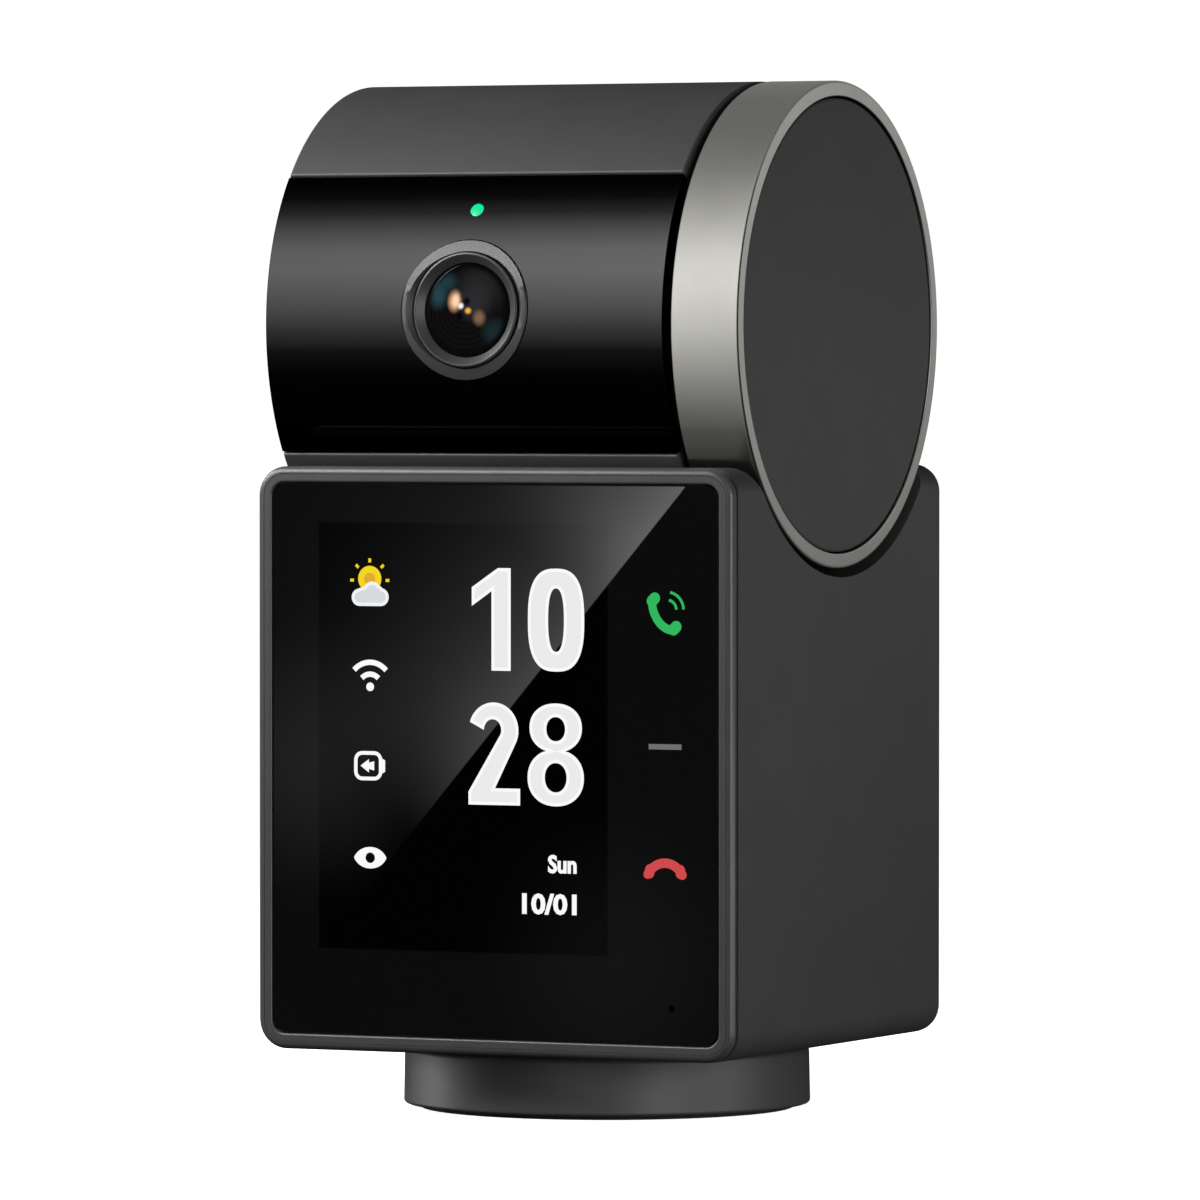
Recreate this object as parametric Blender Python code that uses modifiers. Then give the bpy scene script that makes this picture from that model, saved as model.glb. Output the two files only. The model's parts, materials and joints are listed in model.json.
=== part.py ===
"""A smart display with a tilting camera barrel on a turning box body.

The body turns on a round foot, and the camera barrel tilts on an axle that a side arm holds.
Everything is in metres, +Z up, with the foot's underside at the origin and the screen facing -Y.
"""
import math

import bmesh
import bpy

MM = 0.001
TAU = 2.0 * math.pi

# Driving dimensions
BODY_WIDTH = 71.0 * MM
BODY_DEPTH = 71.0 * MM
BODY_BOTTOM = 9.1 * MM
BODY_TOP = 88.0 * MM
BODY_ROUNDING = 3.8 * MM
WALL = 2.0 * MM
FLOOR = 2.4 * MM
FOOT_RADIUS = 27.9 * MM
HEAD_RADIUS = 33.1 * MM
HEAD_HEIGHT = 107.1 * MM
SADDLE_GAP = 1.1 * MM
BARREL_LEFT = -35.5 * MM
BARREL_RIGHT = 23.95 * MM
BARREL_WALL = 1.8 * MM
POD_LEFT = 25.15 * MM
POD_RIGHT = 35.0 * MM
POD_WALL = 2.1 * MM
VISOR_TOP_ANGLE = math.radians(37.9)
VISOR_BOTTOM_ANGLE = math.radians(-31.4)
VISOR_GROOVE = math.radians(0.5)
LENS_X = -5.4 * MM
LENS_ANGLE = math.radians(3.5)
LIGHT_ANGLE = math.radians(27.9)
HIDDEN_ANGLE = math.radians(-43.0)
SCREEN_X = -4.7 * MM
SCREEN_Z = 51.7 * MM
SCREEN_WIDTH = 46.0 * MM
SCREEN_HEIGHT = 61.0 * MM
KEYS_X = 25.4 * MM
FIT_GAP = 0.3 * MM

# Both drives use the same small gears
GEAR_MODULE = 0.5 * MM
PINION_TEETH = 12
PAN_TEETH = 48
TILT_TEETH = 36
GEAR_BACKLASH = 0.12 * MM
PAN_PINION_ANGLE = math.radians(150.0)
TILT_PINION_ANGLE = math.radians(40.0)
MOTOR_RADIUS = 10.0 * MM
EAR_REACH = 12.6 * MM
EAR_THICKNESS = 0.8 * MM

# Rotations that lay a shape made along Z along another axis
UPRIGHT = (0.0, 0.0, 0.0)
ALONG_X = (0.0, math.pi / 2.0, 0.0)
TO_FRONT = (math.pi / 2.0, 0.0, 0.0)

FRONT = -BODY_DEPTH / 2.0
BACK = BODY_DEPTH / 2.0

# Finish: colour, metallic, roughness
FINISHES = {
    "dark_matte": ((0.045, 0.045, 0.045), 0.0, 0.55),
    "frame_grey": ((0.085, 0.085, 0.087), 0.0, 0.45),
    "black_gloss": ((0.006, 0.006, 0.007), 0.0, 0.06),
    "satin_metal": ((0.36, 0.345, 0.32), 1.0, 0.34),
    "black_plastic": ((0.015, 0.015, 0.016), 0.0, 0.5),
    "rubber": ((0.02, 0.02, 0.02), 0.0, 0.85),
    "steel": ((0.55, 0.55, 0.56), 1.0, 0.32),
    "board": ((0.012, 0.09, 0.04), 0.0, 0.4),
    "white_plastic": ((0.7, 0.7, 0.68), 0.0, 0.45),
    "brass": ((0.62, 0.45, 0.2), 1.0, 0.3),
    "lens_grey": ((0.11, 0.112, 0.115), 0.3, 0.35),
    "lens_glass": ((0.01, 0.02, 0.03), 0.0, 0.03),
    "light_green": ((0.0, 0.6, 0.25), 0.0, 0.25),
    "led_clear": ((0.35, 0.35, 0.4), 0.0, 0.1),
}


def start_scene():
    for old in list(bpy.data.objects):
        bpy.data.objects.remove(old, do_unlink=True)
    made = []
    for name in ("smart_display", "cutters"):
        group = bpy.data.collections.new(name)
        bpy.context.scene.collection.children.link(group)
        made.append(group)
    return made


PARTS, CUTTERS = start_scene()


def axis_empty(name, location, rotation=UPRIGHT, parent=None):
    """An empty that carries the pieces which share an axis."""
    empty = bpy.data.objects.new(name, None)
    empty.location = location
    empty.rotation_euler = rotation
    empty.parent = parent
    PARTS.objects.link(empty)
    return empty


def give_material(obj, finish):
    colour, metallic, roughness = FINISHES[finish]
    material = bpy.data.materials.new(obj.name)
    material.use_nodes = True
    shader = material.node_tree.nodes["Principled BSDF"]
    shader.inputs["Base Color"].default_value = (*colour, 1.0)
    shader.inputs["Metallic"].default_value = metallic
    shader.inputs["Roughness"].default_value = roughness
    obj.data.materials.append(material)


def piece(name, mesh, finish, location=(0, 0, 0), rotation=UPRIGHT, parent=None):
    obj = bpy.data.objects.new(name, mesh)
    obj.location = location
    obj.rotation_euler = rotation
    obj.parent = parent
    PARTS.objects.link(obj)
    give_material(obj, finish)
    return obj


def cutter(name, mesh, location=(0, 0, 0), rotation=UPRIGHT, parent=None):
    obj = bpy.data.objects.new(name, mesh)
    obj.location = location
    obj.rotation_euler = rotation
    obj.parent = parent
    obj.hide_render = True
    obj.display_type = "WIRE"
    CUTTERS.objects.link(obj)
    return obj


def combine(target, tool, operation="DIFFERENCE"):
    boolean = target.modifiers.new(operation.lower() + "_" + tool.name, "BOOLEAN")
    boolean.operation = operation
    boolean.object = tool


def mesh_from(name, shape):
    mesh = bpy.data.meshes.new(name)
    shape.to_mesh(mesh)
    shape.free()
    mesh.shade_smooth()
    mesh.set_sharp_from_angle(angle=math.radians(35.0))
    return mesh


def block(name, size, radius=0.0, axis="Z", steps=4):
    """A box, with the four edges along one axis rounded if a radius is given."""
    shape = bmesh.new()
    bmesh.ops.create_cube(shape, size=1.0)
    bmesh.ops.scale(shape, vec=size, verts=shape.verts)
    if radius > 0.0:
        way = "XYZ".index(axis)
        edges = [edge for edge in shape.edges
                 if abs(edge.verts[0].co[way] - edge.verts[1].co[way]) > size[way] / 2.0]
        bmesh.ops.bevel(shape, geom=edges, offset=radius, segments=steps, affect="EDGES", profile=0.5)
    return mesh_from(name, shape)


def open_front_block(name, size, radius, steps=6):
    """A box rounded on every edge except the four around its front face."""
    shape = bmesh.new()
    bmesh.ops.create_cube(shape, size=1.0)
    bmesh.ops.scale(shape, vec=size, verts=shape.verts)
    front = -size[1] / 2.0
    edges = [edge for edge in shape.edges
             if max(vert.co.y for vert in edge.verts) > front + size[1] / 4.0]
    bmesh.ops.bevel(shape, geom=edges, offset=radius, segments=steps, affect="EDGES", profile=0.5)
    return mesh_from(name, shape)


def rod(name, radius, length, steps=32):
    """A cylinder along Z, from zero up to its length."""
    shape = bmesh.new()
    bmesh.ops.create_cone(shape, cap_ends=True, segments=steps, radius1=radius, radius2=radius,
                          depth=length)
    bmesh.ops.translate(shape, vec=(0.0, 0.0, length / 2.0), verts=shape.verts)
    return mesh_from(name, shape)


def add_turning(obj, steps):
    screw = obj.modifiers.new("turned", "SCREW")
    screw.steps = steps
    screw.render_steps = steps
    screw.use_merge_vertices = True
    screw.merge_threshold = 0.00001
    screw.use_smooth_shade = True


def profile_mesh(name, points, closed):
    """A profile of (radius, height) points that runs down its outer side."""
    shape = bmesh.new()
    verts = [shape.verts.new((radius, 0.0, height)) for radius, height in points]
    pairs = list(zip(verts, verts[1:]))
    if closed:
        pairs.append((verts[-1], verts[0]))
    for first, second in pairs:
        shape.edges.new((first, second))
    mesh = bpy.data.meshes.new(name)
    shape.to_mesh(mesh)
    shape.free()
    return mesh


def turned(name, points, finish, closed=True, steps=32, **place):
    obj = piece(name, profile_mesh(name, points, closed), finish, **place)
    add_turning(obj, steps)
    return obj


def ring_profile(inner, outer, low, high):
    return [(outer, high), (outer, low), (inner, low), (inner, high)]


def turned_ring(name, inner, outer, low, high, finish, steps=32, **place):
    return turned(name, ring_profile(inner, outer, low, high), finish, steps=steps, **place)


def outline(name, loops, thickness):
    """A flat outline, with any further loops as holes, made into a solid mesh."""
    curve = bpy.data.curves.new(name, "CURVE")
    curve.dimensions = "2D"
    curve.fill_mode = "BOTH"
    curve.extrude = thickness / 2.0
    for loop in loops:
        spline = curve.splines.new("POLY")
        spline.points.add(len(loop) - 1)
        for point, (x, y) in zip(spline.points, loop):
            point.co = (x, y, 0.0, 1.0)
        spline.use_cyclic_u = True
    guide = bpy.data.objects.new(name + "_curve", curve)
    CUTTERS.objects.link(guide)
    bpy.context.view_layer.update()
    evaluated = guide.evaluated_get(bpy.context.evaluated_depsgraph_get())
    mesh = bpy.data.meshes.new_from_object(evaluated)
    bpy.data.objects.remove(guide, do_unlink=True)
    shape = bmesh.new()
    shape.from_mesh(mesh)
    bpy.data.meshes.remove(mesh)
    bmesh.ops.remove_doubles(shape, verts=shape.verts, dist=0.000001)
    return mesh_from(name, shape)


def circle(radius, count, centre=(0.0, 0.0)):
    return [(centre[0] + radius * math.cos(TAU * step / count),
             centre[1] + radius * math.sin(TAU * step / count)) for step in range(count)]


def gear_outline(teeth, first_tooth):
    """Straight-sided teeth on the pitch circle, with one tooth centred on the given angle."""
    pitch_radius = GEAR_MODULE * teeth / 2.0
    tip_radius = pitch_radius + 0.9 * GEAR_MODULE
    root_radius = pitch_radius - 1.15 * GEAR_MODULE
    pitch_angle = TAU / teeth
    half_pitch = pitch_angle / 4.0 - GEAR_BACKLASH / pitch_radius / 2.0
    half_tip = half_pitch - 0.32 * GEAR_MODULE / pitch_radius
    half_root = half_pitch + 0.36 * GEAR_MODULE / pitch_radius
    points = []
    for tooth in range(teeth):
        middle = first_tooth + tooth * pitch_angle
        for radius, offset in ((root_radius, -half_root), (tip_radius, -half_tip),
                               (tip_radius, half_tip), (root_radius, half_root)):
            angle = middle + offset
            points.append((radius * math.cos(angle), radius * math.sin(angle)))
    return points


def mesh_distance(teeth):
    return GEAR_MODULE * (teeth + PINION_TEETH) / 2.0 + 0.06 * MM


def pan_pinion_place():
    reach = mesh_distance(PAN_TEETH)
    return reach * math.cos(PAN_PINION_ANGLE), reach * math.sin(PAN_PINION_ANGLE)


def tilt_pinion_place():
    """The pinion's Y and Z from the barrel's axis."""
    reach = mesh_distance(TILT_TEETH)
    return reach * math.cos(TILT_PINION_ANGLE), reach * math.sin(TILT_PINION_ANGLE)


def screw_profile(head_radius, head_height, shank_radius, length):
    return [(0.0, head_height), (head_radius, head_height), (head_radius, 0.0),
            (shank_radius, 0.0), (shank_radius, -length), (0.0, -length)]


def screw(name, location, rotation, length, parent=None):
    """A small machine screw whose head rests at its origin."""
    return turned(name, screw_profile(1.7 * MM, 1.0 * MM, 0.9 * MM, length), "steel", closed=False,
                  steps=12, location=location, rotation=rotation, parent=parent)


def drill(target, name, radius, length, location, rotation=UPRIGHT, parent=None, steps=24):
    tool = cutter(name, rod(name, radius, length, steps), location, rotation, parent)
    combine(target, tool)


def make_base():
    foot_top = BODY_BOTTOM - 0.6 * MM
    journal_radius = 12.0 * MM
    journal_top = 12.9 * MM
    rim_bottom = 0.6 * MM
    bore = FOOT_RADIUS - WALL
    shell = [(journal_radius, journal_top), (journal_radius, foot_top),
             (FOOT_RADIUS - 0.9 * MM, foot_top), (FOOT_RADIUS - 0.2 * MM, foot_top - 0.7 * MM),
             (FOOT_RADIUS, rim_bottom + 0.4 * MM), (FOOT_RADIUS - 0.4 * MM, rim_bottom),
             (bore, rim_bottom), (bore, foot_top - WALL), (9.0 * MM, foot_top - WALL),
             (9.0 * MM, journal_top)]
    turned("base_shell", shell, "dark_matte", steps=56)
    pad = rod("foot_pad", bore - FIT_GAP, 1.2 * MM, 48)
    piece("foot_pad", pad, "rubber")
    plate = rod("base_plate", bore - FIT_GAP, 1.5 * MM, 48)
    piece("base_plate", plate, "steel", location=(0, 0, 1.5 * MM))
    turned_ring("base_weight", 10.0 * MM, bore - 0.5 * MM, 3.3 * MM, 6.2 * MM, "steel", 24)
    turned_ring("pan_retainer", journal_radius + FIT_GAP, 17.0 * MM, 11.9 * MM, 12.7 * MM, "steel")
    gear_thickness = 3.0 * MM
    loops = [gear_outline(PAN_TEETH, PAN_PINION_ANGLE), circle(8.5 * MM, 32)]
    gear = outline("pan_gear", loops, gear_thickness)
    piece("pan_gear", gear, "white_plastic", location=(0, 0, 13.2 * MM + gear_thickness / 2.0))


def make_housing(pan, tilt):
    seam = FRONT + 1.7 * MM
    depth = BACK - seam
    height = BODY_TOP - BODY_BOTTOM
    middle = (0.0, (BACK + seam) / 2.0, (BODY_TOP + BODY_BOTTOM) / 2.0 - BODY_BOTTOM)
    shell_mesh = open_front_block("housing_shell", (BODY_WIDTH, depth, height), BODY_ROUNDING)
    shell = piece("housing_shell", shell_mesh, "dark_matte", location=middle, parent=pan)

    # The hollow stops short of the saddle, which leaves a wall under it
    hollow_depth = depth - WALL + 10.0 * MM
    hollow_size = (BODY_WIDTH - 2.0 * WALL, hollow_depth, height - FLOOR - WALL)
    hollow_mesh = open_front_block("hollow", hollow_size, BODY_ROUNDING - WALL, steps=3)
    hollow_place = (0.0, BACK - WALL - hollow_depth / 2.0, middle[2] + (FLOOR - WALL) / 2.0)
    hollow = cutter("hollow", hollow_mesh, hollow_place, parent=pan)
    saddle_radius = HEAD_RADIUS + SADDLE_GAP
    reach = 100.0 * MM
    for name, radius, target in (("saddle_wall", saddle_radius + WALL, hollow),
                                 ("saddle", saddle_radius, shell)):
        tool = cutter(name, rod(name, radius, reach, 96), (-reach / 2.0, 0, 0), ALONG_X, tilt)
        combine(target, tool)
    combine(shell, hollow)

    floor_bottom = -1.0 * MM
    drill(shell, "floor_hole", 14.4 * MM, 5.0 * MM, (0, 0, floor_bottom), parent=pan, steps=48)
    slot = cutter("arm_slot", block("arm_slot", (3.6 * MM, 13.2 * MM, 8.0 * MM)),
                  (28.5 * MM, 0, -35.2 * MM), parent=tilt)
    combine(shell, slot)
    usb = cutter("usb_hole", block("usb_hole", (9.7 * MM, 6.0 * MM, 4.0 * MM), 1.9 * MM, "Y"),
                 (0, BACK, 15.6 * MM - BODY_BOTTOM), parent=pan)
    combine(shell, usb)
    drill(shell, "speaker_hole", 12.3 * MM, 6.0 * MM, (0, BACK + 1.0 * MM, 52.0 * MM - BODY_BOTTOM),
          TO_FRONT, pan, 48)
    turned_ring("pan_bush", 12.15 * MM, 14.1 * MM, 0.2 * MM, 2.2 * MM, "white_plastic", parent=pan)


def make_front(pan):
    """The bezel, its glass and what lies behind them."""
    middle_z = (BODY_TOP + BODY_BOTTOM) / 2.0 - BODY_BOTTOM
    height = BODY_TOP - BODY_BOTTOM
    rim = 2.15 * MM
    rim_thickness = 1.4 * MM
    slab_back = FRONT + 2.9 * MM
    rim_mesh = block("front_frame", (BODY_WIDTH, rim_thickness, height), 4.0 * MM, "Y", 6)
    frame = piece("front_frame", rim_mesh, "frame_grey",
                  location=(0, FRONT + rim_thickness / 2.0, middle_z), parent=pan)
    bevel = frame.modifiers.new("soft_edge", "BEVEL")
    bevel.width = 0.45 * MM
    bevel.segments = 2
    bevel.limit_method = "ANGLE"
    bevel.angle_limit = math.radians(60.0)
    spigot_size = (BODY_WIDTH - 2.0 * WALL - 2.0 * FIT_GAP, slab_back - FRONT - 0.6 * MM,
                   height - FLOOR - WALL - 2.0 * FIT_GAP)
    spigot_place = (0, (slab_back + FRONT + 0.6 * MM) / 2.0, middle_z + (FLOOR - WALL) / 2.0)
    spigot = cutter("spigot", block("spigot", spigot_size, 1.9 * MM, "Y", 3), spigot_place, parent=pan)
    combine(frame, spigot, "UNION")
    pocket_size = (BODY_WIDTH - 2.0 * rim, 4.0 * MM, height - 2.0 * rim)
    pocket = cutter("glass_pocket", block("glass_pocket", pocket_size, 2.1 * MM, "Y"),
                    (0, FRONT + 1.0 * MM - 2.0 * MM, middle_z), parent=pan)
    combine(frame, pocket)
    window_size = (SCREEN_WIDTH + 2 * FIT_GAP, 12.0 * MM, SCREEN_HEIGHT + 2 * FIT_GAP)
    window = cutter("screen_window", block("screen_window", window_size),
                    (SCREEN_X, FRONT, SCREEN_Z - BODY_BOTTOM), parent=pan)
    combine(frame, window)

    mic_x = 26.5 * MM
    mic_z = 16.2 * MM - BODY_BOTTOM
    drill(frame, "mic_hole", 0.5 * MM, 8.0 * MM, (mic_x, FRONT + 4.0 * MM, mic_z), TO_FRONT, pan, 12)
    glass_size = (pocket_size[0] - 0.3 * MM, 0.8 * MM, pocket_size[2] - 0.3 * MM)
    glass = piece("cover_glass", block("cover_glass", glass_size, 2.0 * MM, "Y", 5), "black_gloss",
                  location=(0, FRONT + 0.5 * MM, middle_z), parent=pan)
    drill(glass, "glass_mic_hole", 0.5 * MM, 8.0 * MM, (mic_x, FRONT + 4.0 * MM, mic_z), TO_FRONT, pan, 12)

    screen_place = (SCREEN_X, FRONT + 2.2 * MM, SCREEN_Z - BODY_BOTTOM)
    panel = block("lcd_panel", (SCREEN_WIDTH, 2.0 * MM, SCREEN_HEIGHT))
    piece("lcd_panel", panel, "black_gloss", location=screen_place, parent=pan)
    bracket_y = FRONT + 4.1 * MM
    bracket = piece("lcd_bracket", block("lcd_bracket", (49.0 * MM, 0.8 * MM, 66.0 * MM)), "steel",
                    location=(SCREEN_X, bracket_y, SCREEN_Z - BODY_BOTTOM), parent=pan)
    board_front = bracket_y + 2.8 * MM
    board = piece("main_board", block("main_board", (60.0 * MM, 1.4 * MM, 50.0 * MM)), "board",
                  location=(0, board_front + 0.7 * MM, 41.0 * MM - BODY_BOTTOM), parent=pan)
    low_corner = (-26.0 * MM, 19.5 * MM - BODY_BOTTOM)
    high_corner = (17.0 * MM, 62.5 * MM - BODY_BOTTOM)
    for number, (x, z) in enumerate((low_corner, high_corner), start=1):
        post = rod("board_post", 2.0 * MM, board_front - bracket_y - 0.3 * MM, 16)
        combine(bracket, cutter("board_post_%d" % number, post,
                                (x, board_front - 0.3 * MM, z), TO_FRONT, pan), "UNION")
        drill(board, "board_hole_%d" % number, 1.2 * MM, 5.0 * MM,
              (x, board_front + 4.0 * MM, z), TO_FRONT, pan, 12)
        back_y = board_front + 1.7 * MM
        screw("board_screw_%d" % number, (x, back_y, z), (-math.pi / 2.0, 0, 0), 1.7 * MM, pan)
    keys = block("touch_key_board", (9.0 * MM, 1.0 * MM, 48.0 * MM))
    piece("touch_key_board", keys, "board", parent=pan,
          location=(KEYS_X, slab_back + 0.9 * MM, 52.0 * MM - BODY_BOTTOM))
    mic = block("microphone", (4.0 * MM, 1.2 * MM, 3.0 * MM))
    piece("microphone", mic, "steel", location=(mic_x, slab_back + 1.0 * MM, mic_z), parent=pan)
    can = block("shield_can", (20.0 * MM, 2.4 * MM, 18.0 * MM), 0.6 * MM, "Y", 1)
    piece("shield_can", can, "steel", parent=pan,
          location=(-4.0 * MM, board_front + 2.9 * MM, 43.0 * MM - BODY_BOTTOM))


def make_inside(pan):
    """The pieces inside the body that do not move in it."""
    antenna = block("wifi_antenna", (0.8 * MM, 20.0 * MM, 12.0 * MM))
    piece("wifi_antenna", antenna, "board", parent=pan,
          location=(-32.6 * MM, -6.0 * MM, 48.0 * MM - BODY_BOTTOM))
    speaker_z = 52.0 * MM - BODY_BOTTOM
    speaker = [(0.0, 9.5 * MM), (9.5 * MM, 9.5 * MM), (12.8 * MM, 8.6 * MM), (12.8 * MM, 5.0 * MM),
               (8.0 * MM, 4.0 * MM), (8.0 * MM, 0.0), (0.0, 0.0)]
    turned("speaker", speaker, "black_plastic", closed=False, steps=20, parent=pan,
           location=(0, 23.2 * MM, speaker_z), rotation=(-math.pi / 2.0, 0, 0))
    grille_radius = 12.0 * MM
    grille_thickness = 1.6 * MM
    hole_radius = 1.3 * MM
    loops = [circle(grille_radius, 48), circle(hole_radius, 8)]
    for ring in (1, 2):
        for step in range(6 * ring):
            angle = TAU * step / (6 * ring)
            reach = 4.4 * MM * ring
            loops.append(circle(hole_radius, 8, (reach * math.cos(angle), reach * math.sin(angle))))
    grille = outline("speaker_grille", loops, grille_thickness)
    piece("speaker_grille", grille, "black_plastic", parent=pan, rotation=TO_FRONT,
          location=(0, BACK - 0.2 * MM - grille_thickness / 2.0, speaker_z))

    board = block("power_board", (24.0 * MM, 12.0 * MM, 1.2 * MM))
    piece("power_board", board, "board", location=(0, 27.0 * MM, 13.0 * MM - BODY_BOTTOM), parent=pan)
    usb_length = 7.4 * MM
    usb_place = (0, BACK - 0.5 * MM - usb_length / 2.0, 15.6 * MM - BODY_BOTTOM)
    usb_mesh = block("usb_socket", (9.1 * MM, usb_length, 3.3 * MM), 1.6 * MM, "Y")
    socket = piece("usb_socket", usb_mesh, "steel", location=usb_place, parent=pan)
    mouth_mesh = block("usb_mouth", (8.4 * MM, usb_length, 2.6 * MM), 1.25 * MM, "Y")
    mouth = cutter("usb_mouth", mouth_mesh, (0, usb_place[1] + 1.2 * MM, usb_place[2]), parent=pan)
    tongue_mesh = block("usb_tongue", (6.6 * MM, usb_length, 0.7 * MM))
    tongue = cutter("usb_tongue", tongue_mesh, (0, usb_place[1] - 0.6 * MM, usb_place[2]), parent=pan)
    combine(mouth, tongue)
    combine(socket, mouth)


def make_pan_drive(pan):
    pinion_x, pinion_y = pan_pinion_place()
    plate_bottom = 17.3 * MM - BODY_BOTTOM
    plate_thickness = 1.5 * MM
    plate_mesh = block("chassis_plate", (66.4 * MM, 42.0 * MM, plate_thickness), 3.0 * MM, "Z", 2)
    plate = piece("chassis_plate", plate_mesh, "black_plastic", parent=pan,
                  location=(0, -1.0 * MM, plate_bottom + plate_thickness / 2.0))
    below = plate_bottom - 1.0 * MM
    drill(plate, "cable_hole", 6.0 * MM, 4.0 * MM, (6.0 * MM, -6.0 * MM, below), parent=pan)
    drill(plate, "pan_shaft_hole", 1.6 * MM, 4.0 * MM, (pinion_x, pinion_y, below), parent=pan, steps=16)
    motor_foot = plate_bottom + plate_thickness + FIT_GAP
    motor_place = (pinion_x, pinion_y, motor_foot)
    make_motor("pan_motor", motor_place, UPRIGHT, pan)
    for number, side in ((1, -1.0), (2, 1.0)):
        at = (pinion_x + side * EAR_REACH, pinion_y, below)
        drill(plate, "pan_screw_hole_%d" % number, 1.2 * MM, 4.0 * MM, at, parent=pan, steps=12)
        top = (at[0], at[1], motor_foot + EAR_THICKNESS + FIT_GAP)
        screw("pan_motor_screw_%d" % number, top, UPRIGHT, 2.6 * MM, pan)
    make_pinion("pan_pinion", (pinion_x, pinion_y, 14.7 * MM - BODY_BOTTOM), UPRIGHT, pan,
                PAN_PINION_ANGLE + math.pi)


def make_motor(name, location, rotation, parent):
    """A small geared motor with two ears; its own foot is at its origin."""
    motor = piece(name, rod(name, MOTOR_RADIUS, 13.5 * MM, 32), "steel", location, rotation, parent)
    ears = cutter(name + "_ears", block(name + "_ears", (30.0 * MM, 6.0 * MM, EAR_THICKNESS), 2.9 * MM, "Z"),
                  parent=motor, location=(0, 0, EAR_THICKNESS / 2.0))
    combine(motor, ears, "UNION")
    for number, side in ((1, -1.0), (2, 1.0)):
        drill(motor, "%s_ear_hole_%d" % (name, number), 1.2 * MM, 4.0 * MM,
              (side * EAR_REACH, 0, -1.0 * MM), parent=motor, steps=12)
    drill(motor, name + "_shaft_hole", 1.4 * MM, 4.5 * MM, (0, 0, -1.0 * MM), parent=motor, steps=16)
    return motor


def make_pinion(name, location, rotation, parent, gear_side):
    """A pinion and its shaft, with a gap between teeth facing the gear it rolls on."""
    thickness = 3.0 * MM
    half_tooth = TAU / PINION_TEETH / 2.0
    mesh = outline(name, [gear_outline(PINION_TEETH, gear_side + half_tooth)], thickness)
    pinion = piece(name, mesh, "brass", location, rotation, parent)
    shaft = cutter(name + "_shaft", rod(name + "_shaft", 1.0 * MM, 7.0 * MM, 12), (0, 0, 0), parent=pinion)
    combine(pinion, shaft, "UNION")
    return pinion


def make_arm(tilt_fixed):
    """The side pod and the axle it holds; none of these tilt."""
    plate_thickness = 2.0 * MM
    plate_x = 28.4 * MM
    head = 12.0 * MM
    stem = 5.4 * MM
    foot = -37.5 * MM
    # Drawn with its first axis down, because laying it along X turns it so
    arc = [(head * math.cos(math.radians(angle)), head * math.sin(math.radians(angle)))
           for angle in range(30, 331, 15)]
    points = arc + [(-foot, -stem), (-foot, stem)]
    arm = piece("side_arm_bracket", outline("side_arm_bracket", [points, circle(5.3 * MM, 32)],
                                            plate_thickness), "steel", parent=tilt_fixed,
                location=(plate_x, 0, 0), rotation=ALONG_X)
    flange_size = (11.4 * MM, 18.0 * MM, 2.0 * MM)
    flange_x = plate_x + plate_thickness / 2.0 - 0.4 * MM - flange_size[0] / 2.0
    flange = cutter("arm_flange", block("arm_flange", flange_size), parent=tilt_fixed,
                    location=(flange_x, 0, foot))
    combine(arm, flange, "UNION")
    for number, side in ((1, -1.0), (2, 1.0)):
        at = (flange_x - 2.2 * MM, side * 6.2 * MM, foot - 1.3 * MM)
        drill(arm, "arm_hole_%d" % number, 1.2 * MM, 4.0 * MM,
              (at[0], at[1], at[2] - 1.0 * MM), parent=tilt_fixed, steps=12)
        screw("arm_screw_%d" % number, at, (math.pi, 0, 0), 2.3 * MM, tilt_fixed)

    inner = HEAD_RADIUS - POD_WALL
    edge = 0.35 * MM
    ring_points = [(HEAD_RADIUS - edge, POD_RIGHT), (HEAD_RADIUS, POD_RIGHT - edge),
                   (HEAD_RADIUS, POD_LEFT + edge), (HEAD_RADIUS - edge, POD_LEFT),
                   (inner, POD_LEFT), (inner, POD_RIGHT)]
    ring = turned("pod_ring", ring_points, "satin_metal", steps=72, parent=tilt_fixed, rotation=ALONG_X)
    slot = cutter("pod_slot", block("pod_slot", (3.6 * MM, 13.2 * MM, 8.0 * MM)),
                  (28.5 * MM, 0, -32.0 * MM), parent=tilt_fixed)
    combine(ring, slot)
    turned_ring("pod_back_plate", 5.4 * MM, inner - FIT_GAP, 25.4 * MM, 26.9 * MM, "black_plastic",
                parent=tilt_fixed, rotation=ALONG_X)
    disc = rod("pod_disc", inner - 0.25 * MM, 1.4 * MM, 72)
    piece("pod_disc", disc, "dark_matte", (POD_RIGHT - 1.6 * MM, 0, 0), ALONG_X, tilt_fixed)

    axle = [(9.0 * MM, 31.2 * MM), (9.0 * MM, 29.7 * MM), (5.0 * MM, 29.7 * MM), (5.0 * MM, 9.6 * MM),
            (3.2 * MM, 9.6 * MM), (3.2 * MM, 31.2 * MM)]
    turned("tilt_axle", axle, "steel", steps=32, parent=tilt_fixed, rotation=ALONG_X)
    turned_ring("axle_clip", 5.25 * MM, 8.0 * MM, 14.9 * MM, 15.9 * MM, "steel", 24,
                parent=tilt_fixed, rotation=ALONG_X)
    # Laid along X, the drawing's axes become -Z and Y, so angles are counted from -Z
    toward = TILT_PINION_ANGLE + math.pi / 2.0
    loops = [gear_outline(TILT_TEETH, toward), circle(5.3 * MM, 24)]
    piece("tilt_gear", outline("tilt_gear", loops, 3.0 * MM), "white_plastic",
          (11.5 * MM, 0, 0), ALONG_X, tilt_fixed)


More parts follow.
